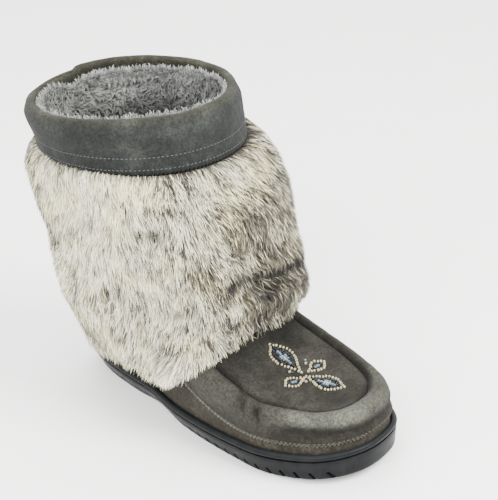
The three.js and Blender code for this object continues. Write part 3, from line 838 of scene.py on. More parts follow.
def make_outsole():
    columns = outline_columns(SOLE_COLUMNS)
    undercut = SIDE_UNDERCUT * by_side(UNDERCUT, columns)
    rings = []
    for height, inset, kept in SOLE_SIDE:
        x, y = moved_in(columns, inset + kept * undercut)
        z = height + arch_rise(y) * (1 - height / LIP_HEIGHT) + lift(y)
        rings.append(np.stack([x, y, z], -1))
    sole = ring_object("sole", np.array(rings))
    join_or_cut(sole, tread_bars(), "DIFFERENCE")
    crisp(sole, SOLE_SHARP_EDGE)
    spots = np.array([v.co for v in sole.data.vertices]) / MM
    # The lip's top is painted paler: worn rubber and a painted highlight along it. The tread is worn paler
    # too.
    on_lip = smoothstep(spots[:, 2] - lift(spots[:, 1]), LIP_HEIGHT - 2.5, LIP_HEIGHT)
    on_tread = smoothstep(-spots[:, 2], -2, 0)
    paint(sole.data, {"wear_and_highlight": LIP_RUB_AND_HIGHLIGHT * on_lip + TREAD_RUB * on_tread})
    settle(sole, rubber_finish, ["outsole"])


# Quarter: the hollow suede upper, a foot form and a shaft form joined, with their hollow cut out
FORM_COLUMNS = 260
FORM_ANGLES = (0, 1, 3, 6, 10, 16, 23, 31, 40, 50, 60, 70, 80, 90)
SHAFT_COLUMNS = 200
SHAFT_RINGS = 40
OPEN_PAST = 20
QUARTER_SHARP_EDGE = 50


def foot_object(name, growth, drop=0):
    columns = outline_columns(FORM_COLUMNS)
    rings = wall_points(columns, np.array(FORM_ANGLES)[:, None])
    normals = grid_normals(rings)
    normals[0, :, 2] = 0
    rings = rings + unit(normals) * growth
    if drop:
        rings = np.concatenate([rings[:1] - [0, 0, drop], rings])
    return ring_object(name, rings)


def shaft_object(name, outward, over=0):
    heights = np.linspace(SHAFT["height"][0] * BOOT_HEIGHT, rim_height, SHAFT_RINGS)
    rings = shaft_rings(heights, [outward], [0], SHAFT_COLUMNS)
    if over:
        rings = np.concatenate([rings, rings[-1:] + [0, 0, over]])
    return ring_object(name, rings, zipped=False)


def make_quarter():
    quarter = join_or_cut(foot_object("quarter", 0), shaft_object("shaft", 0), "UNION")
    inside = foot_object("inside", -UPPER_WALL, OPEN_PAST)
    join_or_cut(inside, shaft_object("shaft_inside", -UPPER_WALL, OPEN_PAST), "UNION")
    join_or_cut(quarter, inside, "DIFFERENCE")
    crisp(quarter, QUARTER_SHARP_EDGE)
    paint(quarter.data, plain_paint(quarter.data.vertices))
    settle(quarter, quarter_suede, ["upper"])


# Vamp: a suede wrap whose padded roll stands round the plug
VAMP_COLUMNS = 1120
ROLL_START = 30
ROLL_END = 92
ROLL_FOOT = 14
ROLL_SKEW = 0.85
ROLL_FULLNESS = 1.2
SOFT_START = 4
SOFT_SWELL = 0.72
SOFT_SKEW = 1.3
TEETH_PITCH = 2.9
TEETH_DEPTH = 1.5
EDGE_THIN = 0.5
HIGHEST_EDGE = 0.97
BACK_GAP = 0.9 * GAP
SEAM_SINK = 2.4
SOFT_SINK = 1.1
SUEDE_GREY = np.array([1.0, 0.985, 0.95])
# Shares of the way from the vamp's lower edge to its seam, up its face and down its back
VAMP_FACE = np.concatenate([np.linspace(0, 0.12, 6)[:-1], np.linspace(0.12, 0.955, 24), [0.975, 0.99, 1.0]])
VAMP_BACK = np.linspace(1, 0, 8)
CREASE_HEIGHT = 37.5
CREASE_WIDTH = 3.0
DEEPEST_DENT = 3.4

# Creases: start, end, half width and height of each, negative for a trough
VAMP_CREASES = [
    ((-40, -159, 55), (-51, -168, 43), 2.8, -3.4),
    ((-41, -171, 51), (-50, -180, 38), 2.6, -4.0),
    ((-43, -166, 51), (-50, -173, 42), 3.2, 1.3),
    ((-42, -180, 49), (-47, -188, 43), 4.0, 1.2),
    ((-46, -150, 55), (-54, -158, 44), 4.5, 0.9),
    ((-47, -188, 38), (-38, -208, 38.5), 3.4, -2.4),
    ((-38, -208, 38.5), (-18, -229, 38.5), 3.0, -2.1),
    ((-18, -229, 38.5), (14, -232, 39), 3.0, -2.1),
    ((14, -232, 39), (38, -212, 40), 3.0, -1.9),
    ((38, -212, 40), (50, -180, 42), 3.4, -1.2),
    ((-36, -203, 47), (-14, -224, 47), 5.0, 0.9),
    ((-14, -224, 47), (18, -226, 47), 5.0, 0.9),
]


def roll_swell(angle):
    t = np.clip((angle - ROLL_START) / (ROLL_END - ROLL_START), 0, 1)
    swell = ROLL_DEPTH * np.sin(np.pi * t**ROLL_SKEW) ** ROLL_FULLNESS
    return swell * smoothstep(angle, ROLL_START, ROLL_START + ROLL_FOOT)


def triangle_wave(walked, pitch):
    """A zigzag between 0 and 1."""
    return np.abs((walked / pitch) % 1 - 0.5) * 2


def vamp_edge_height(y):
    return LIP_HEIGHT + INSTEP_HEIGHT * smooth(VAMP_EDGE, "share", "rise", share_of(y))


def vamp_columns():
    columns = outline_columns(VAMP_COLUMNS)
    return some_columns(columns, columns.y < vamp_back)


def vamp_start_angle(columns, teeth):
    """Angle round the wall's profile where the vamp's lower edge lies."""
    _, inset_y = moved_in(columns, upper_inset)
    edge = vamp_edge_height(inset_y) + teeth
    rise = (edge - standing_height) / (roof_height(inset_y) - standing_height)
    return np.degrees(np.arcsin(np.clip(rise, 0, HIGHEST_EDGE) ** (1 / WALL_POWER)))


def softer_side(columns):
    """Where the roll is low and soft: along the outer side, behind the two dents."""
    return columns.lateral * (1 - smoothstep(-columns.y, 168, 192))


def soft_swell(angle):
    """The roll's swell where it blends into the wall, without a fold below it."""
    t = np.clip((angle - SOFT_START) / (ROLL_END - SOFT_START), 0, 1)
    return SOFT_SWELL * ROLL_DEPTH * np.sin(np.pi * t**SOFT_SKEW) ** 2


def vamp_surface(columns, shares, teeth):
    """Outer points of the vamp at shares of the way from its lower edge to the seam, with normals."""
    start = vamp_start_angle(columns, teeth)
    angles = start + (PLUG_SEAM_ANGLE - start) * shares[:, None]
    base = wall_points(columns, angles)
    normals = grid_normals(base, around=False)
    roll = roll_swell(angles)
    roll = roll + (soft_swell(angles) - roll) * softer_side(columns)
    thinned = EDGE_THIN * (1 - smoothstep(shares, 0, 0.06))
    growth = GAP + SUEDE * (1 - thinned)[:, None] + roll
    return base + normals * growth[..., None], normals, angles


def vamp_paint(points, shares, angles):
    """Worn over the toe's roll with a painted highlight on its top, worn along the lower edge, and painted
    shade in the crease, the dents and the seam.
    """
    x, y, z = points.T
    front = smoothstep(-y, 176, 205)
    patchy = 0.78 + 0.28 * lattice_noise(points, 9, 11) + 0.12 * lattice_noise(points, 3, 12)
    # Paler over the top of the roll, more on the outer side and at the toe: worn suede and a painted
    # highlight.
    above_crease = smoothstep(z, 38.5 - 16 * (1 - front), 44 + 8 * (1 - front))
    top = above_crease * (1 - smoothstep(angles, 72, 82))
    side_rub_and_highlight = 0.3 * (0.55 * (x < 0) + 0.3)
    toe_rub_and_highlight = 0.5 - 0.17 * smoothstep(x, 5, 38)
    edge_rub = (0.85 - 0.35 * front) * (1 - smoothstep(shares, 0.02, 0.06)) * patchy
    wear_and_highlight = np.maximum(np.clip(top * (side_rub_and_highlight + toe_rub_and_highlight * front) * patchy, 0, 1), edge_rub)
    # Painted shade: darker in the crease under the roll, in the two dents, near the seam on the soft outer
    # side, and along the seam with the plug.
    crease = np.exp(-(((z - CREASE_HEIGHT) / CREASE_WIDTH) ** 2)) * front
    dents = np.clip(-hand_creases(points, VAMP_CREASES[:2]), 0, DEEPEST_DENT)
    soft = smoothstep(shares, 0.8, 1) * (1 - smoothstep(-y, 150, 178)) * (x < 0)
    shade = 1 - 0.4 * crease - 0.42 * smoothstep(shares, 0.93, 1) - 0.2 * soft - 0.2 * dents
    return {"wear_and_highlight": wear_and_highlight, "tint_and_shade": shade[:, None] * SUEDE_GREY}


def make_vamp():
    columns = vamp_columns()
    teeth = TEETH_DEPTH * (triangle_wave(columns.walked, TEETH_PITCH) - 0.5)
    face, normals, face_angles = vamp_surface(columns, VAMP_FACE, teeth)
    relief = hand_creases(face, VAMP_CREASES)
    relief += 0.35 * lattice_noise(face, 14, 3) + 0.15 * lattice_noise(face, 4, 5)
    face = face + normals * (relief * smoothstep(VAMP_FACE, 0.02, 0.2)[:, None])[..., None]
    soft_side = softer_side(columns)
    sink = SEAM_SINK * smoothstep(VAMP_FACE, 0.93, 1.0)[:, None] * (1 - 0.5 * soft_side)
    sink = sink + SOFT_SINK * smoothstep(VAMP_FACE, 0.72, 0.92)[:, None] * soft_side
    face = face - normals * sink[..., None]
    _, back_normals, back_angles = vamp_surface(columns, VAMP_BACK, teeth)
    back = wall_points(columns, back_angles) + back_normals * BACK_GAP
    points = np.concatenate([face, back])
    rows, count = points.shape[:2]
    faces = [grid_faces(rows, count, True, False)]
    faces += [cap_faces(0, rows, count, False), cap_faces(count - 1, rows, count, True)]
    points = points.reshape(-1, 3)
    shares = np.repeat(np.concatenate([VAMP_FACE, VAMP_BACK]), count)
    angles = np.concatenate([face_angles, back_angles]).ravel()
    vamp = new_object("vamp_wrap", points, faces, vamp_paint(points, shares, angles))
    settle(vamp, vamp_suede, ["vamp"])


# Plug: the flat panel inside the roll
def seam_plan(margin):
    """Plan of the seam between roll and plug, from the outer side round the toe, moved in by a margin."""
    columns = vamp_columns()
    spots = wall_points(columns, np.full((1, len(columns.y)), PLUG_SEAM_ANGLE))[0]
    return np.stack([spots[:, 0] - columns.nx * margin, spots[:, 1] - columns.ny * margin], 1)


PLUG_CREASES = [
    ((-22, -128, 0), (-4, -150, 0), 6.0, -0.7),
    ((22, -120, 0), (30, -160, 0), 7.0, 0.5),
    ((-26, -170, 0), (-14, -196, 0), 7.0, 0.5),
    ((-18, -205, 0), (24, -214, 0), 5.0, -0.5),
]


PLUG_ROWS = 90
PLUG_COLUMNS = 56
PLUG_BACK_COLUMNS = 8
PLUG_EDGE_DROP = 1.5
PLUG_EDGE_WIDTH = 3.2


def plug_top(x, y):
    """Height of the plug's upper face."""
    spots = np.stack([x, y, np.zeros_like(x)], -1)
    relief = hand_creases(spots, PLUG_CREASES) + 0.3 * lattice_noise(spots, 16, 21)
    return roof_height(y) + lift(y) + GAP + SUEDE + relief


def seam_distance(x, y, plan):
    """Distance in plan from the seam."""
    spots = np.stack([x, y], -1)
    best = np.full(x.shape, np.inf)
    for a, b in zip(plan[:-1:3], plan[3::3]):
        best = np.minimum(best, near_segment(spots, a, b)[0])
    return best


def make_plug():
    plan = seam_plan(GAP / 2)
    tip = int(np.argmin(plan[:, 1]))
    sides = [plan[:tip + 1][::-1], plan[tip:]]
    steps = np.sin(np.linspace(0.03, np.pi / 2, PLUG_ROWS)) ** 2
    y = plan[tip, 1] + (plug_back - plan[tip, 1]) * steps
    left, right = (np.interp(y, side[:, 1], side[:, 0]) for side in sides)
    face = np.sin(np.linspace(-np.pi / 2, np.pi / 2, PLUG_COLUMNS))
    across = np.concatenate([face, np.linspace(1, -1, PLUG_BACK_COLUMNS)])
    x = (left + right)[:, None] / 2 + (right - left)[:, None] / 2 * across
    y = np.broadcast_to(y[:, None], x.shape)
    distance = seam_distance(x, y, plan)
    top = plug_top(x, y) - PLUG_EDGE_DROP * (1 - smoothstep(distance, 0, PLUG_EDGE_WIDTH))
    low = roof_height(y) + lift(y) + GAP * 0.8
    z = np.where(np.arange(len(across)) < PLUG_COLUMNS, np.maximum(top, low + 0.05), low)
    points = np.stack([x, y, z], -1).reshape(-1, 3)
    rows, count = x.shape
    faces = [grid_faces(rows, count, False, True)[:, ::-1]]
    faces += [cap_faces(0, count, 1, False), cap_faces((rows - 1) * count, count, 1, True)]
    wear_and_highlight = 0.07 + 0.16 * lattice_noise(points, 18, 31) + 0.06 * lattice_noise(points, 5, 32)
    # Painted shade: darker along the seam with the roll, and a painted shadow of the fur over the plug's
    # back.
    shade = 0.5 + 0.5 * smoothstep(distance.ravel(), 0, 3.4)
    shade = shade * (0.45 + 0.55 * smoothstep(-points[:, 1], 128, 166))
    looks = {"wear_and_highlight": np.clip(wear_and_highlight, 0, 0.3), "tint_and_shade": shade[:, None] * SUEDE_GREY}
    settle(new_object("vamp_plug", points, faces, looks), vamp_suede, ["plug"])


# Beads: small rings of glass laid in rows
BEAD_ROUND_STEPS = 10
BEAD_SECTION_STEPS = 7
BEAD_MIDDLE = 0.31
BEAD_WALL = 0.19
BEAD_REST = 0.36
BEAD = 1.95
SMALL_BEAD = 1.85
BEAD_LENGTH = 1.42
CREAM = (0.33, 0.295, 0.19)
JET = (0.004, 0.005, 0.008)
PALE_BLUE = (0.11, 0.175, 0.225)
SLATE = (0.016, 0.03, 0.055)


def bead_shape():
    """A bead of unit width with a hole along its first axis."""
    around = ring_angles(BEAD_ROUND_STEPS)[:, None]
    section = ring_angles(BEAD_SECTION_STEPS)[None, :]
    reach = BEAD_MIDDLE + BEAD_WALL * np.cos(section)
    along = BEAD_REST * np.sin(section) + 0 * around
    points = np.stack([along, reach * np.cos(around), reach * np.sin(around)], -1)
    return points.reshape(-1, 3), [grid_faces(BEAD_ROUND_STEPS, BEAD_SECTION_STEPS, True, True)]


SLOPE_STEP = 0.5


def bead_places(spots, headings, widths, colours, seed):
    """Beads at places in plan that sit on the plug, with their holes along their row."""
    rng = np.random.default_rng(seed)
    spots = np.array(spots, float) + rng.normal(0, 0.2, (len(spots), 2))
    headings = np.array(headings, float) + rng.normal(0, 0.15, len(spots))
    size = np.array(widths) * rng.uniform(0.92, 1.06, len(spots))
    z = plug_top(spots[:, 0], spots[:, 1]) + size * BEAD_REST
    behind, ahead = (plug_top(spots[:, 0], spots[:, 1] + step) for step in (SLOPE_STEP, -SLOPE_STEP))
    slope = (behind - ahead) / (2 * SLOPE_STEP)
    along = unit(np.stack([np.sin(headings), np.cos(headings), slope * np.cos(headings)], -1))
    up = unit(np.stack([np.zeros(len(z)), -slope, np.ones(len(z))], -1))
    tint_and_shade = np.array(colours) * rng.uniform(0.85, 1.12, (len(spots), 1))
    return np.column_stack([spots, z]), own_axes(along, up), size[:, None].repeat(3, 1), tint_and_shade


def make_bead_piece(name, beads, seed, replaced=()):
    """One piece from beads given as place, heading, width and colour."""
    shape, faces = bead_shape()
    spots, headings, widths, colours = zip(*beads)
    places, axes, sizes, tint_and_shade = bead_places(spots, headings, widths, colours, seed)
    settle(scatter(name, shape, faces, places, axes, sizes, {"tint_and_shade": tint_and_shade}), glass_finish, replaced)


OUTLINE_PITCH = 2.2
ROW_PITCH = 2.0
LEAF_WIDENING = 1.27
LEAF_TIP_POWER = 0.76
# Each leaf carries a cross: three cream beads, with three pale blue ones before, behind and beside them
MOTIF_MIDDLE = 0.05
BEADS_IN_GROUP = 3


def leaf_colour(rows, order, group):
    """Colour of a bead by its row from the middle one, and by its place in groups from the leaf's middle."""
    if group < 0.5:
        if order == 0 and rows > 1:
            return CREAM
        return PALE_BLUE if order <= 1 else JET
    return PALE_BLUE if order == 0 and rows > 1 and group < 1.5 else JET


def leaf_beads(length, width):
    """Beads of a leaf in its own frame: along, across, lean, width and colour. It is fuller near its tip."""
    half = width * LEAF_WIDENING / 2
    found = []
    t = np.linspace(0, 1, 400)
    edge = np.stack([(t - 0.5) * length, half * np.sin(np.pi * t ** (1 / LEAF_TIP_POWER)) ** 1.05], 1)
    walked = walk(edge)
    count = int(round(walked[-1] / OUTLINE_PITCH))
    for sign in (1, -1):
        for k in range(0 if sign > 0 else 1, count + (sign > 0)):
            distance = walked[-1] * k / count
            spot = at_walk(distance, walked, edge)
            ahead = at_walk(distance + 0.5, walked, edge) - spot
            found.append((spot[0], sign * spot[1], math.atan2(sign * ahead[1], ahead[0]), BEAD, CREAM))
    rows = max(1, 2 * int((half - BEAD * 0.6) / ROW_PITCH) - 1)
    for row in range(rows):
        order = row - rows // 2
        across = order * ROW_PITCH
        along = -length / 2
        while along < length / 2:
            room = np.interp(along, edge[:, 0], edge[:, 1]) - abs(across)
            if room > SMALL_BEAD * 0.95:
                group = abs(along - length * MOTIF_MIDDLE) / (BEADS_IN_GROUP * BEAD_LENGTH)
                found.append((along, across, 0.0, SMALL_BEAD, leaf_colour(rows, abs(order), group)))
            along += BEAD_LENGTH
    return found


# Single beads round the middle of the motif: place in plan from its centre, and colour
SINGLE_BEADS = [
    ((8.6, 9.4), PALE_BLUE),
    ((6.6, 7.4), CREAM),
    ((-8.4, 7.6), CREAM),
    ((-7.2, 5.8), SLATE),
    ((-7.0, -3.4), CREAM),
    ((-6.0, -5.2), CREAM),
]
MOTIF_CENTRE = (0.06, 0.81)
SINGLE_LEAN = 0.8


def make_beads():
    for number, (name, forward, aside, length, width, heading) in enumerate(LEAVES):
        turn = math.radians(heading)
        centre = np.array([aside * MOTIF_SPAN, toe_y + forward * MOTIF_SPAN])
        forward_axis = np.array([math.sin(turn), math.cos(turn)])
        side_axis = np.array([math.cos(turn), -math.sin(turn)])
        beads = [
            (centre + along * forward_axis + across * side_axis, turn + lean, size, colour)
            for along, across, lean, size, colour in leaf_beads(length * MOTIF_SPAN, width * MOTIF_SPAN)
        ]
        make_bead_piece(f"beads_{name}", beads, 40 + number, [f"bead_leaf_{name}"])
    centre = np.array(MOTIF_CENTRE) * MOTIF_SPAN + [0, toe_y]
    singles = [(centre + place, SINGLE_LEAN, BEAD, colour) for place, colour in SINGLE_BEADS]
    make_bead_piece("beads_single", singles, 50)


# Stitches: short bars of thread, each row with its pitch, length and width
VAMP_STITCH = (3.1, 2.1, 0.75)
CUFF_STITCH = (2.9, 1.8, 0.5)
STITCH_SIDES = 5


def stitch_shape():
    """A stitch of unit length and width that dips at both ends, along its first axis."""
    along = np.array([-0.5, -0.36, 0, 0.36, 0.5])
    width = np.array([0.2, 0.47, 0.5, 0.47, 0.2])
    dip = np.array([-0.6, -0.08, 0.12, -0.08, -0.6])
    around = ring_angles(STITCH_SIDES)
    ring = np.stack([0 * around, np.cos(around), np.sin(around)], -1)
    points = width[:, None, None] * ring + np.stack([along, 0 * along, dip], -1)[:, None]
    faces = [grid_faces(len(along), STITCH_SIDES, False, True)[:, ::-1], cap_faces(0, STITCH_SIDES, 1, False)]
    faces.append(cap_faces((len(along) - 1) * STITCH_SIDES, STITCH_SIDES, 1, True))
    return points.reshape(-1, 3), faces


def stitch_row(name, path, normals, stitch, material, seed, closed=True):
    """Stitches along a path, lying on a surface with the given normals."""
    pitch, length, width = stitch
    rng = np.random.default_rng(seed)
    shape, faces = stitch_shape()
    ends = np.concatenate([path, path[:1]]) if closed else path
    facing = np.concatenate([normals, normals[:1]]) if closed else normals
    walked = walk(ends)
    count = int(walked[-1] / pitch)
    distance = (np.arange(count) + 0.5) / count * walked[-1] + rng.normal(0, 0.08, count)
    places = at_walk(distance, walked, ends)
    up = unit(at_walk(distance, walked, facing))
    along = unit(at_walk(distance + 0.3, walked, ends) - places)
    axes = own_axes(upright_to(along, up), up)
    sizes = np.full((count, 3), width)
    sizes[:, 0] = length * rng.uniform(0.9, 1.08, count)
    settle(scatter(name, shape, faces, places + up * width * 0.25, axes, sizes), material)


def make_vamp_stitches():
    columns = vamp_columns()
    surface, normals, _ = vamp_surface(columns, np.array([0.07, 0.11, 0.15]), 0.0)
    stitch_row("vamp_stitches", surface[0], normals[1], VAMP_STITCH, brown_thread, 61, False)


# Cuff: a suede band folded over the rim and down inside it
CUFF_TEETH = 150
TOOTH_COLUMNS = 6
CUFF_COLUMNS = CUFF_TEETH * TOOTH_COLUMNS
CUFF_TEETH_DEPTH = 1.7
CUFF_FACE_TOP = rim_height - 1.5
CUFF_ROWS = 15
FOLD_ROWS = 11
CUFF_STITCH_HEIGHTS = (2.6, 10.4)
KINK_HEADING = 84
KINK_DEPTH = 2.4
RIM_BROWN = np.array([1.12, 1.0, 0.78])
# Heading of the side with the painted sheen
SHEEN_HEADING = math.radians(-10)
CUFF_CREASES = [
    ((-66, -40, 196), (-52, -80, 194), 5.0, -0.7),
    ((-20, -106, 197), (30, -100, 199), 5.0, -0.6),
    ((-70, 0, 203), (-66, -44, 204), 4.0, 0.6),
    ((50, -78, 206), (66, -40, 204), 6.0, 0.8),
    ((2, 46, 219), (0, 44, 208), 4.0, -1.4),
    ((12, 46, 219), (10, 44, 208), 4.0, 1.0),
]


def cuff_section():
    """Rows of the cuff's section: outward distance, height, and height over the rim."""
    fold_centre = -UPPER_WALL / 2
    fold_half = GAP + SUEDE - fold_centre
    outside = [(GAP + SUEDE, height, 0) for height in np.linspace(cuff_foot, CUFF_FACE_TOP, CUFF_ROWS)]
    turn = np.linspace(0, np.pi, FOLD_ROWS)
    top = BOOT_HEIGHT - rim_height
    fold = [(fold_centre + fold_half * math.cos(t), rim_height, -1.2 + (top + 1.2) * math.sin(t) ** 0.8)
            for t in turn[1:-1]]
    inner = -UPPER_WALL - GAP - SUEDE
    inside = [(inner, height, 0) for height in (rim_height - 1.6, rim_height - 5, rim_height - CUFF_FLAP)]
    back = [(inner + SUEDE, rim_height - CUFF_FLAP, 0), (GAP * 0.6, rim_height - CUFF_FLAP - 4, 0)]
    return outside + fold + inside + back + [(GAP * 0.6, cuff_foot + 0.4, 0)]


def cuff_surface():
    """Grid of the cuff with its soft creases, its normals and its section's rows."""
    rows = np.array(cuff_section())
    points = shaft_rings(rows[:, 1], rows[:, 0], rows[:, 2], CUFF_COLUMNS)
    normals = grid_normals(points)
    outside = (np.arange(len(rows)) < CUFF_ROWS + FOLD_ROWS - 2)[:, None]
    relief = hand_creases(points, CUFF_CREASES)
    relief += 0.4 * lattice_noise(points, 18, 71) + 0.16 * lattice_noise(points, 5, 72)
    return points + normals * (relief * outside)[..., None], normals, rows


def cuff_paint(points, rows):
    """Worn and browner at the rim, patchy all over, with a painted sheen on the side that faces the light,
    and the inside painted paler against its shade.
    """
    outward, level, over = np.repeat(rows, CUFF_COLUMNS, axis=0).T
    rim = smoothstep(level + over, rim_height - 4, rim_height + 1.8)
    outer_half = smoothstep(outward, -2.5, 0.5)
    angle = np.tile(ring_angles(CUFF_COLUMNS), len(rows))
    # Painted sheen: paler on the side of the rim that faces the light.
    facing = (0.5 + 0.5 * np.cos(angle - SHEEN_HEADING)) ** 1.5
    patches = lattice_noise(points * [1, 1, 1.6], 16, 75) + 0.5 * lattice_noise(points, 6, 76)
    wear_and_highlight = rim * outer_half * (0.1 + 0.1 * facing) + 0.14 * np.maximum(patches, 0)
    # Painted light: the turned-in inside is made paler to offset its shade.
    shade = np.clip((0.94 + 0.16 * patches) * (1 + 0.5 * (1 - outer_half)), 0.5, 1.7)
    turned = np.maximum(rim * 0.5, 1 - outer_half)
    return {"wear_and_highlight": np.clip(wear_and_highlight, 0, 1), "tint_and_shade": shade[:, None] * (1 + (RIM_BROWN - 1) * turned[:, None])}


def make_cuff():
    points, normals, rows = cuff_surface()
    heading = np.arange(CUFF_COLUMNS) / CUFF_COLUMNS * 360
    sunk = smoothstep(heading, KINK_HEADING, KINK_HEADING + 6) * (1 - smoothstep(heading, 108, 150))
    near_rim = smoothstep(rows[:, 1], rim_height - 14, rim_height)
    points[..., 2] -= KINK_DEPTH * sunk[None, :] * near_rim[:, None]
    teeth = CUFF_TEETH_DEPTH * (triangle_wave(np.arange(CUFF_COLUMNS), TOOTH_COLUMNS) - 1)
    points[..., 2] += teeth[None, :] * (1 - smoothstep(rows[:, 1], cuff_foot, cuff_foot + 3.2))[:, None]
    flat = points.reshape(-1, 3)
    faces = [grid_faces(len(rows), CUFF_COLUMNS, True, True)]
    cuff = new_object("cuff_band", flat, faces, cuff_paint(flat, rows))
    settle(cuff, cuff_suede, ["cuff"])
    for number, height in enumerate(CUFF_STITCH_HEIGHTS):
        share = height / (CUFF_FACE_TOP - cuff_foot) * (CUFF_ROWS - 1)
        row = int(share)
        path = points[row] + (points[row + 1] - points[row]) * (share - row)
        name = f"cuff_stitches_{number + 1}"
        stitch_row(name, path, normals[row], CUFF_STITCH, grey_thread, 80 + number)


# Lining: a fleece surface inside the shaft with curled tufts standing on it
LINING_COLUMNS = 200
LINING_ROWS = 60
LINING_FOOT = 0.3 * BOOT_HEIGHT
LINING_THICKNESS = 1.6
TUFT_LENGTH = 4.6
# Tufts in two zones: shares of the way up where each starts and ends, and how many
TUFT_ZONES = ((0.0, 0.5, 2600), (0.5, 0.985, 10500))
EDGE_TUFTS = 3000
EDGE_TUFT_LENGTH = 3.7
FLEECE_GREY = np.array([0.98, 1.01, 0.955])
# The fleece's upper edge lies lowest at the far side, and lower still in a notch at the back
LOW_HEADING = math.radians(50)
LOW_DROP = 6.6
NEAR_RISE = 2.0
NOTCH_HEADING = math.radians(94)
NOTCH_HALF_WIDTH = 0.14
NOTCH_DROP = 5.5


def lining_surface():
    """The fleece's own surface inside the shaft, from the rim down."""
    heights = np.linspace(rim_height - 1.0, LINING_FOOT, LINING_ROWS)
    flap = smoothstep(heights, rim_height - CUFF_FLAP - 7, rim_height - CUFF_FLAP)
    outward = -UPPER_WALL - 1.8 - (SUEDE + 0.6) * flap
    points = shaft_rings(heights, outward, np.zeros(LINING_ROWS), LINING_COLUMNS)[::-1]
    angle = ring_angles(LINING_COLUMNS)
    far = (0.5 + 0.5 * np.cos(angle - LOW_HEADING)) ** 1.3
    from_notch = (angle - NOTCH_HEADING + np.pi) % (2 * np.pi) - np.pi
    notch = np.exp(-((from_notch / NOTCH_HALF_WIDTH) ** 2))
    drop = LOW_DROP * far - NEAR_RISE + NOTCH_DROP * notch + 0.9 * lattice_noise(points[-1], 5, 90)
    points[..., 2] -= drop[None, :] * smoothstep(points[..., 2], rim_height - 26, rim_height - 1)
    normals = -grid_normals(points)
    lumps = 1.1 * lattice_noise(points, 8, 91) + 0.7 * lattice_noise(points * [1, 1, 1.8], 3.6, 92)
    return points + normals * lumps[..., None], normals, lumps


def tuft_shape():
    """A curled lock that stands on its third axis and lies over along its first."""
    along = np.array([0.0, 0.26, 0.6, 0.92, 1.1])
    up = np.array([-0.1, 0.2, 0.28, 0.24, 0.1])
    side = np.array([0.0, 0.05, -0.06, 0.06, 0.22])
    width = np.array([0.13, 0.15, 0.13, 0.09, 0.0])
    left = np.stack([along, side - width, up], -1)
    right = np.stack([along, side + width, up], -1)
    points = np.concatenate([left, right[:-1]])
    quads = np.array([[k, k + 1, 6 + k, 5 + k] for k in range(3)])
    return points, [quads, np.array([[3, 4, 8]])]


def tuft_piece(name, spots, normals, down, length, shade, seed):
    """Tufts that stand on a surface and curl over in whorls."""
    rng = np.random.default_rng(seed)
    count = len(spots)
    shape, faces = tuft_shape()
    spin = 3.4 * lattice_noise(spots, 13, seed) + 1.1 * lattice_noise(spots, 5, seed + 1)
    spin = spin + rng.normal(0, 0.45, count) + math.radians(60)
    across = unit(np.cross(normals, down))
    ahead = unit(np.cross(across, normals))
    lean = np.cos(spin)[:, None] * ahead + np.sin(spin)[:, None] * across
    up = unit(normals + rng.normal(0, 0.2, (count, 3)))
    axes = own_axes(upright_to(lean, up), up)
    sizes = (length * rng.uniform(0.6, 1.2, count))[:, None] * np.array([1.0, 1.0, 0.9])
    flip = np.where(rng.random(count) < 0.5, -1.0, 1.0)
    sizes[:, 1] *= flip
    tip = np.array([0.55, 0.82, 1.0, 1.1, 1.18, 0.55, 0.82, 1.0, 1.1])
    tint_and_shade = (shade * rng.uniform(0.86, 1.14, count))[:, None, None] * tip[None, :, None]
    tint_and_shade = tint_and_shade * FLEECE_GREY
    piece = scatter(name, shape, faces, spots, axes, sizes)
    paint(piece.data, {"tint_and_shade": tint_and_shade.reshape(-1, 3)})
    settle(piece, fleece_finish)


def standing_piece(name, spots, outwards, shade, seed):
    """Pile that stands up at the fleece's upper edge and leans a little out over the rim."""
    rng = np.random.default_rng(seed)
    count = len(spots)
    shape, faces = tuft_shape()
    upright = np.array([0, 0, 1.0])
    lean = unit(upright + 0.25 * outwards + rng.normal(0, 0.3, (count, 3)))
    up = unit(np.cross(lean, np.cross(rng.normal(0, 1, (count, 3)), lean)))
    axes = own_axes(lean, up)
    sizes = (EDGE_TUFT_LENGTH * rng.uniform(0.6, 1.15, count))[:, None] * np.array([1.0, 0.9, 0.6])
    tint_and_shade = shade[:, None] * rng.uniform(0.8, 1.2, (count, 1)) * FLEECE_GREY
    settle(scatter(name, shape, faces, spots, axes, sizes, {"tint_and_shade": tint_and_shade}), fleece_finish)


def grid_sample(points, row, column):
    """Bilinear sample of a grid whose columns close."""
    rows, count = points.shape[:2]
    row = np.clip(row, 0, rows - 1.001)
    r, c = np.floor(row).astype(int), np.floor(column).astype(int)
    fr, fc = (row - r)[:, None], (column - c)[:, None]
    c0, c1 = c % count, (c + 1) % count
    low = points[r, c0] * (1 - fc) + points[r, c1] * fc
    high = points[r + 1, c0] * (1 - fc) + points[r + 1, c1] * fc
    return low * (1 - fr) + high * fr


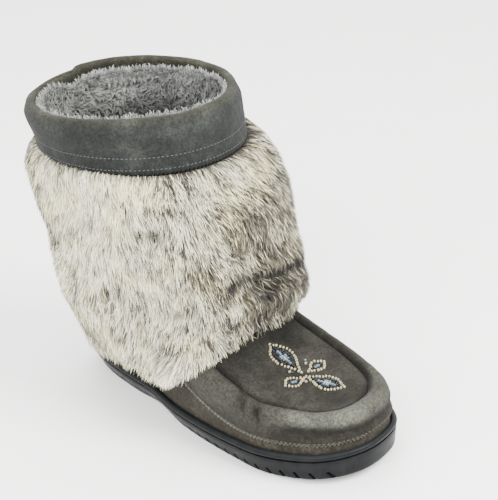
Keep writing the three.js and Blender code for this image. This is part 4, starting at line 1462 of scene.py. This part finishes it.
def make_lining():
    points, normals, lumps = lining_surface()
    both = np.concatenate([points, (points - normals * LINING_THICKNESS)[::-1]]).reshape(-1, 3)
    # Painted shade: darker deeper down the shaft, and darker where the lumps sink in.
    depth = smoothstep(both[:, 2], 172, rim_height)
    lump = np.concatenate([lumps, lumps[::-1]]).ravel()
    shade = (0.028 + 0.082 * depth) * (1 + 0.25 * lump)
    faces = [grid_faces(2 * LINING_ROWS, LINING_COLUMNS, True, True)[:, ::-1]]
    lining = new_object("lining_fleece", both, faces, {"tint_and_shade": shade[:, None] * FLEECE_GREY})
    settle(lining, fleece_finish)
    rng = np.random.default_rng(95)
    down = np.array([0, 0, -1.0])
    for number, (low, high, count) in enumerate(TUFT_ZONES):
        row = rng.uniform(low, high, count) * (LINING_ROWS - 1)
        column = rng.uniform(0, LINING_COLUMNS, count)
        spots = grid_sample(points, row, column)
        facing = grid_sample(normals, row, column)
        clump = lattice_noise(spots, 4, 97) + 0.6 * lattice_noise(spots, 11, 94)
        # Painted shade: tufts darker deeper down the shaft.
        shade = (0.016 + 0.144 * smoothstep(spots[:, 2], 170, 200)) * (1 + 0.28 * clump)
        tuft_piece(f"lining_tufts_{number + 1}", spots, facing, down, TUFT_LENGTH, shade, 96 + number)
    column = rng.uniform(0, LINING_COLUMNS, EDGE_TUFTS)
    row = rng.uniform(0.965, 0.999, EDGE_TUFTS) * (LINING_ROWS - 1)
    spots = grid_sample(points, row, column)
    shade = 0.28 * (1 + 0.3 * lattice_noise(spots, 3, 98))
    standing_piece("lining_edge", spots, -grid_sample(normals, row, column), shade, 99)


# Insole: a fleece footbed. Its edge's section is given as inset and share of its thickness.
INSOLE_COLUMNS = 320
INSOLE_EDGE = [(0, 0), (0, 0.8), (0.6, 1), (2, 1)]
INSOLE_TUFTS = 3000
INSOLE_TUFT_LENGTH = 4.2
FOOTBED_TINT = (0.15, 0.152, 0.148)


def make_insole():
    inset = upper_inset + UPPER_WALL + GAP
    columns = outline_columns(INSOLE_COLUMNS)
    rings = []
    for inward, height in INSOLE_EDGE:
        kept = np.minimum(inward, 0.9 * np.abs(columns.x))
        x, y = moved_in(columns, inset + kept)
        spots = np.stack([x, y, np.zeros_like(x)], -1)
        lumps = 0.5 * lattice_noise(spots, 4, 101) * (height >= 1)
        z = standing_height + INSOLE_THICKNESS * height + lift(y) + lumps
        rings.append(np.stack([x, y, z], -1))
    insole = ring_object("insole_fleece", np.array(rings))
    paint(insole.data, {"tint_and_shade": np.tile(FOOTBED_TINT, (len(insole.data.vertices), 1))})
    settle(insole, fleece_finish, ["insole"])
    rng = np.random.default_rng(103)
    share = rng.uniform(0.04, 0.96, INSOLE_TUFTS)
    side = rng.uniform(-1, 1, INSOLE_TUFTS)
    widths = [smooth(OUTLINE, "share", name, share) for name in ("lateral", "medial")]
    x = side * (np.where(side < 0, *widths) * BALL_WIDTH - inset - 2)
    y = y_of(share)
    z = standing_height + INSOLE_THICKNESS + lift(y)
    spots = np.stack([x, y, z], -1)
    up = np.tile(np.array([0, 0, 1.0]), (INSOLE_TUFTS, 1))
    shade = 0.14 * (1 + 0.35 * lattice_noise(spots, 5, 104))
    tuft_piece("insole_tufts", spots, up, np.array([0, 1.0, 0]), INSOLE_TUFT_LENGTH, shade, 105)


# Fur: an undercoat with blades of hair rooted in it
FUR_TURNS = 720
FUR_DOWNS = 180
FUR_BEYOND = 24
fur_top = cuff_foot - GAP
fur_table_foot = FUR["height"][0] * BOOT_HEIGHT
FUR_SPREAD = 2.5
PILE_DEPTH = 8.2
PROUD_AT_CUFF = 4.4


def fur_outline(turn, height):
    """The hair tips' outer form at each turn and height."""
    angle = turn * 2 * np.pi
    level = np.maximum(height, fur_table_foot)
    share = level / BOOT_HEIGHT
    sizes = shaft_sizes(level)
    sizes["front"] = sizes["front"] - FUR_PILE * smooth(FUR, "height", "front", share)
    for side in ("back", "lateral", "medial"):
        sizes[side] = sizes[side] + FUR_PILE * smooth(FUR, "height", side, share)
    sizes["widest"] = sizes["widest"] - SOLE_LENGTH * smooth(FUR, "height", "ahead", share)
    sizes["power"] = smooth(FUR, "height", "power", share)
    x, y = super_ellipse(angle, sizes)
    reach = np.hypot(x, y - sizes["widest"])
    return x / reach, (y - sizes["widest"]) / reach, sizes["widest"], reach


def outline_reach(start_y, dx, dy):
    """Distance from a point on the middle line to the sole's outline in each direction."""
    columns = outline_columns(400)
    ax, ay = columns.x[None, :], columns.y[None, :]
    ex, ey = np.roll(columns.x, -1)[None, :] - ax, np.roll(columns.y, -1)[None, :] - ay
    dx, dy, start = dx[:, None], dy[:, None], start_y[:, None]
    across = dx * ey - dy * ex
    along = (ax * ey - (ay - start) * ex) / across
    share = (ax * dy - (ay - start) * dx) / across
    return np.where((share >= 0) & (share <= 1) & (along > 0), along, 0).max(1)


def fur_form():
    """Grid of the fur's outer form, from under the cuff down to the hem and a little beyond it."""
    turn = np.arange(FUR_TURNS) / FUR_TURNS
    dx, dy, widest, reach = fur_outline(turn, np.full(FUR_TURNS, fur_table_foot))
    low = np.minimum(outline_reach(widest, dx, dy) + FUR_SPREAD, reach * 1.05)
    hem_y = widest + dy * reach
    hem = LIP_HEIGHT + INSTEP_HEIGHT * smooth(HEM, "share", "rise", share_of(hem_y))
    down = np.linspace(0, 1, FUR_DOWNS)[:, None]
    height = fur_top + (hem[None, :] - fur_top) * down
    dx, dy, widest, reach = fur_outline(np.broadcast_to(turn, height.shape), height)
    t = np.clip((fur_table_foot - height) / (fur_table_foot - LIP_HEIGHT), 0, 1)
    length = reach + (low[None, :] - reach) * t
    points = np.stack([dx * length, widest + dy * length, height], -1)
    step = points[-1] - points[-2]
    beyond = [points[-1] + step * k for k in range(1, FUR_BEYOND + 1)]
    return np.concatenate([points, np.array(beyond)])


# Hollows and swells of the pelt: start, end, half width, height
FUR_FOLDS = [
    ((-30, -131, 102), (2, -140, 107), 4.5, -6.5),
    ((-4, -140, 109), (30, -138, 101), 4.5, -8.0),
    ((24, -138, 102), (62, -118, 96), 4.5, -8.0),
    ((-16, -142, 92), (30, -144, 86), 9.0, 4.0),
    ((26, -142, 84), (64, -112, 80), 11.0, 5.5),
    ((-34, -134, 86), (-10, -141, 88), 8.0, 2.0),
    ((-62, -98, 151), (-52, -112, 150), 6.0, -5.0),
    ((-58, -104, 95), (-46, -118, 91), 5.0, -4.0),
    ((-30, -130, 88), (-22, -136, 90), 5.0, -3.0),
    ((-57, -72, 72), (-52, -106, 60), 4.0, -3.0),
    ((-54, -88, 42), (-50, -116, 58), 13.0, 6.5),
    ((-50, -108, 50), (-34, -130, 64), 10.0, 9.0),
    ((-64, -40, 165), (-60, -90, 170), 16.0, 1.6),
    ((-60, 6, 172), (-46, 36, 170), 14.0, 2.5),
]

# Painted shade along the fur's folds: start, end, half width and strength
FUR_FOLD_SHADE = [
    ((-34, -137, 105), (-18, -141, 115), 3.4, -1.5),
    ((-20, -141, 114.5), (0, -137, 109.5), 3.8, -1.7),
    ((-4, -137, 110), (24, -136.5, 105.5), 3.4, -1.5),
    ((20, -136.5, 106), (36, -137, 106), 3.4, -1.4),
    ((33, -137, 106.5), (54, -130, 98), 3.4, -1.4),
    ((-10, -143, 99), (48, -136, 92), 12.0, -0.45),
    ((-64, -105, 153), (-54, -109, 151), 4.5, -1.0),
    ((-56, -108, 94), (-44, -130, 99), 4.2, -0.75),
    ((-53, -74, 66), (-56, -103, 66.5), 2.6, -0.8),
    ((-73, -52, 148), (-62, -104, 151), 4.5, -0.4),
]


class Fur:
    """The fur's outer form with its folds, and the fields that its hair follows."""

    def __init__(self):
        form = fur_form()
        normals = -grid_normals(form)
        row = np.arange(len(form))[:, None]
        folds = hand_creases(form, FUR_FOLDS) + 1.3 * lattice_noise(form, 26, 111)
        folds += 0.7 * lattice_noise(form, 9, 112)
        folds *= smoothstep(row, 0, 26)
        shaft = shaft_rings([fur_top], [0], [0], FUR_TURNS)[0, :, :2]
        top = form[0, :, :2]
        self.shaft_ring = shaft[np.argmin(np.linalg.norm(top[:, None] - shaft[None], axis=-1), axis=1)]
        proud = np.maximum(np.linalg.norm(top - self.shaft_ring, axis=-1) - PROUD_AT_CUFF, 0)
        folds -= proud[None, :] * (1 - smoothstep(row, 0, 9))
        self.points = form + normals * folds[..., None]
        self.normals = -grid_normals(self.points)
        self.down_step = np.gradient(self.points, axis=0)
        self.around_step = across_each(self.points) / 2
        room = np.linalg.norm(self.points[0, :, :2] - self.shaft_ring, axis=-1) - 0.5
        hidden = smoothstep(row, 0, 16)
        self.depth = room[None, :] * (1 - hidden) + PILE_DEPTH * hidden
        self.rooting = self.normals.copy()
        self.rooting[..., 2] *= smoothstep(row, 4, 30)
        self.rooting = unit(self.rooting)


PELT_ROWS = np.arange(2, FUR_DOWNS, 4)
PELT_STEP = 3
PELT_THICKNESS = 1.5


def make_pelt(fur):
    """The undercoat, a sheet below the hair that closes against the shaft under the cuff."""
    outer, normals, depth = (grid[PELT_ROWS][:, ::PELT_STEP] for grid in (fur.points, fur.rooting, fur.depth))
    sunk = (0.95 - 0.29 * smoothstep(PELT_ROWS, 5, 30))[:, None]
    skin = outer - normals * (depth * sunk)[..., None]
    skin += normals * (0.5 * lattice_noise(skin, 4, 115))[..., None]
    back = skin - normals * PELT_THICKNESS
    shaft = fur.shaft_ring[::PELT_STEP]
    ledge = skin[:1] + [0, 0, 1.0]
    ledge[0, :, :2] = shaft + 0.1 * (skin[0, :, :2] - shaft)
    both = np.concatenate([ledge, skin, back[::-1]])
    faces = [grid_faces(len(both), both.shape[1], True, True)[:, ::-1]]
    pelt = new_object("fur_pelt", both.reshape(-1, 3), faces)
    settle(pelt, undercoat_finish, ["fur_sleeve"])


HAIRS_PER_PIECE = 25500
HAIR_PIECES = 4
HAIR_LENGTH = 15
HAIR_WIDTH = 0.68
HAIR_JOINTS = (0.0, 0.36, 0.72, 1.0)
HAIR_TAPER = np.array([0.8, 1.0, 0.66])
LOCK_SIZE = 3.8
ROW_HEIGHT = 0.75
COLUMN_WIDTH = 0.68
LEAST_STEP = 0.2
CREAM_HAIR = np.array([0.99, 0.955, 0.73])
GREY_HAIR = np.array([0.235, 0.215, 0.168])
DARK_HAIR = np.array([0.027, 0.0245, 0.02])
DARK_ROOT = np.array([0.04, 0.037, 0.031])
PALE_ROOT = np.array([0.26, 0.243, 0.19])
# How far each joint of a blade has turned from the root's colour to the tip's
TIP_COLOUR = np.array([0.0, 0.1, 0.62, 1.0])

# Pale patches and grey patches of the coat, and painted shade in its hollows: centre, radius and strength
COAT_PATCHES_AND_SHADE = [
    ((-72, -43, 172), 24, 0.45),
    ((-60, -76, 176), 20, 0.4),
    ((-20, -116, 180), 26, 0.35),
    ((-62, -40, 120), 20, 0.35),
    ((-46, -30, 56), 26, 0.35),
    ((-50, -90, 50), 20, 0.25),
    ((-58, 2, 126), 19, -0.95),
    ((-62, 14, 162), 19, -0.8),
    ((-54, -108, 126), 20, -0.15),
    ((14, -132, 146), 28, -0.25),
    ((10, -140, 90), 24, -0.45),
    ((-36, -136, 82), 16, -0.2),
    ((20, -118, 180), 24, 0.5),
    ((52, -92, 176), 24, 0.4),
    ((-20, -136, 66), 18, 0.25),
]


def coat_lightness_and_shade(points):
    """How pale the coat is: palest on the outer side, greyer round the front and the inner side, with painted
    shade in its hollows.
    """
    total = add_patches(0.86 * smoothstep(-points[:, 0], 16, 70) - 0.38, points, COAT_PATCHES_AND_SHADE)
    return total + 0.26 * lattice_noise(points, 20, 121) + 0.42 * lattice_noise(points, 6, 122)


# Locks that hang below the hem: place, radius and extra length
HEM_LOCKS = [
    ((-50, -100, 38), 10, 4.5),
    ((-48, -116, 48), 11, 5.5),
    ((-42, -128, 59), 11, 13.0),
    ((-28, -135, 68), 8, 2.0),
]


def hem_droop(fur, column):
    """How far the hair hangs below the hem."""
    hem = grid_sample(fur.points, np.full(len(column), FUR_DOWNS - 1.0), column)
    return add_patches(np.zeros(len(column)), hem, HEM_LOCKS)


def hair_ends(fur, number, rng):
    """Row and column of each root on the fur's grid, row of its tip, and the length of a row there."""
    count = HAIRS_PER_PIECE
    rows = FUR_DOWNS - 1
    column = (number + rng.random(count)) * (FUR_TURNS / HAIR_PIECES)
    tip_row = 1.2 + rng.random(count) ** 1.1 * rows
    row_length = np.linalg.norm(grid_sample(fur.down_step, tip_row - 8, column), axis=1)
    least = np.maximum(row_length, LEAST_STEP)
    ragged = 1.6 + 1.6 * lattice_noise(np.stack([column, 0 * column, 0 * column], -1), 6, 137)
    lowest = hem_droop(fur, column) + ragged + rng.exponential(0.8, count)
    tip_row = np.minimum(tip_row, rows + lowest / least)
    row = np.maximum(tip_row - HAIR_LENGTH * rng.uniform(0.65, 1.15, count) / least, 0)
    return row, column, tip_row, row_length


def locks_of(row, column):
    """The lock that each hair belongs to: row and column of its middle, its lean and its tone."""
    lock_rows, lock_columns = LOCK_SIZE * 1.5 / ROW_HEIGHT, LOCK_SIZE / COLUMN_WIDTH
    cell_row = np.floor(row / lock_rows)
    shift = (cell_row % 2) * 0.5
    cell_column = np.floor(column / lock_columns + shift)
    key = np.stack([cell_row, cell_column, np.zeros(len(row))], -1) * 7.31 + 0.37
    jitter_row, jitter_column, tone = (lattice_noise(key, 1.0, seed) for seed in (131, 132, 133))
    middle_row = (cell_row + 0.5 + 0.35 * jitter_row) * lock_rows
    middle_column = (cell_column - shift + 0.5 + 0.35 * jitter_column) * lock_columns
    return middle_row, middle_column, jitter_column, tone


def hair_spines(fur, rng, ends, locks, root):
    """Joints of each hair from root to tip, combed over the form and drawn towards its lock's middle."""
    row, column, tip_row, row_length = ends
    lock_row, lock_column, lock_lean, lock_tone = locks
    count = len(row)
    column_length = np.linalg.norm(grid_sample(fur.around_step, row, column), axis=1)
    comb = 0.4 * lattice_noise(root, 30, 134) + 0.42 * lattice_noise(root, 9, 135) + 0.15 * lock_lean
    comb = comb + rng.normal(0, 0.13, count)
    sideways = comb * (tip_row - row) * row_length / np.maximum(column_length, LEAST_STEP)
    depth = grid_sample(fur.depth[..., None], row, column)[:, 0]
    proud = 0.5 + 2.4 * rng.random(count) ** 2 + 1.3 * np.maximum(lock_tone, 0)
    proud = proud * (0.4 + 0.6 * smoothstep(tip_row, 0, 26))
    arch = 2.6 * rng.random(count) * (1 - smoothstep(row, 0, 3)) / np.maximum(row_length, LEAST_STEP)
    gather = np.clip(rng.normal(0.74, 0.13, count), 0.3, 0.97)
    spine = []
    for t in HAIR_JOINTS:
        pulled = gather * t**1.4
        at_column = column + (lock_column - column) * pulled + sideways * t
        at_row = row + (lock_row - row) * pulled * 0.2 + (tip_row - row) * t
        above = np.maximum(-at_row, 0) + arch * 4 * t * (1 - t)
        facing = grid_sample(fur.normals, at_row, at_column)
        inward = grid_sample(fur.rooting, at_row, at_column)
        spot = grid_sample(fur.points, at_row, at_column) + facing * (proud * t**2)[:, None]
        spot = spot - inward * (depth * (1 - t) ** 1.7)[:, None]
        spot[:, 2] += above * row_length
        spine.append(spot)
    return np.stack(spine, 1)


def hair_blades(fur, rng, ends, spine):
    """Corners of each hair's flat blade: three on its left, three on its right, and its tip."""
    row, column = ends[:2]
    count = len(row)
    facing = grid_sample(fur.normals, row + 8, column)[:, None, :]
    twist = rng.normal(0, 0.45, count)[:, None, None]
    side = unit(unit(np.cross(np.gradient(spine, axis=1), facing)) + twist * facing)
    width = HAIR_WIDTH * rng.uniform(0.65, 1.25, count)
    half = side[:, :3] * (width[:, None] * HAIR_TAPER / 2)[..., None]
    return np.concatenate([spine[:, :3] - half, spine[:, :3] + half, spine[:, 3:]], 1)


def hair_colour_and_shade(rng, blades, spine, root, lock_tone):
    """Colour of each corner: cream, grey or dark tips over darker roots, with painted shade along the folds.
    """
    count = len(root)
    light = coat_lightness_and_shade(0.35 * spine[:, 1] + 0.65 * spine[:, 2])
    pick = rng.random(count)
    pale_share = np.clip(0.44 + 0.6 * light + 0.3 * lock_tone, 0.04, 0.97)
    dark_share = np.clip(0.27 - 0.34 * light - 0.3 * lock_tone, 0.02, 0.8)
    tip = np.where((pick < pale_share)[:, None], CREAM_HAIR, GREY_HAIR)
    tip = np.where((pick > 1 - dark_share)[:, None], DARK_HAIR, tip)
    tip = tip * rng.uniform(0.72, 1.06, (count, 1)) * (1 + 0.4 * np.minimum(lock_tone, 0.15)[:, None])
    warmth = np.clip(lattice_noise(root, 16, 136) + 0.3, 0, 1)[:, None]
    tip = tip * (1 + 0.1 * warmth * np.array([0.4, 0, -1.8]))
    paleness = smoothstep(light, -0.2, 0.9)[:, None]
    base = (DARK_ROOT * (1 - paleness) + PALE_ROOT * paleness) * rng.uniform(0.6, 1.3, (count, 1))
    blend = TIP_COLOUR[[0, 1, 2, 0, 1, 2, 3]][None, :, None]
    tint_and_shade = base[:, None] * (1 - blend) + tip[:, None] * blend
    # Painted shade along the folds
    fold_shade = np.clip(1 + hand_creases(blades, FUR_FOLD_SHADE), 0.06, 1)
    return np.clip(tint_and_shade * fold_shade[..., None], 0.01, 1)


def make_hair_piece(fur, number):
    """Hair of one quarter of the sleeve."""
    rng = np.random.default_rng(130 + number)
    ends = hair_ends(fur, number, rng)
    locks = locks_of(*ends[:2])
    root = grid_sample(fur.points, *ends[:2])
    spine = hair_spines(fur, rng, ends, locks, root)
    blades = hair_blades(fur, rng, ends, spine)
    tint_and_shade = hair_colour_and_shade(rng, blades, spine, root, locks[-1])
    first = np.arange(len(root))[:, None, None] * blades.shape[1]
    corners = (np.array([[0, 1, 4, 3], [1, 2, 5, 4]]), np.array([[2, 6, 5]]))
    faces = [(c[None] + first).reshape(-1, c.shape[1]) for c in corners]
    piece = new_object(f"fur_hair_{number + 1}", blades.reshape(-1, 3), faces, {"tint_and_shade": tint_and_shade.reshape(-1, 3)})
    settle(piece, hair_finish)


def make_fur():
    fur = Fur()
    make_pelt(fur)
    for number in range(HAIR_PIECES):
        make_hair_piece(fur, number)


make_camera()
studio()
make_outsole()
make_quarter()
make_vamp()
make_plug()
make_vamp_stitches()
make_beads()
make_cuff()
make_lining()
make_insole()
make_fur()
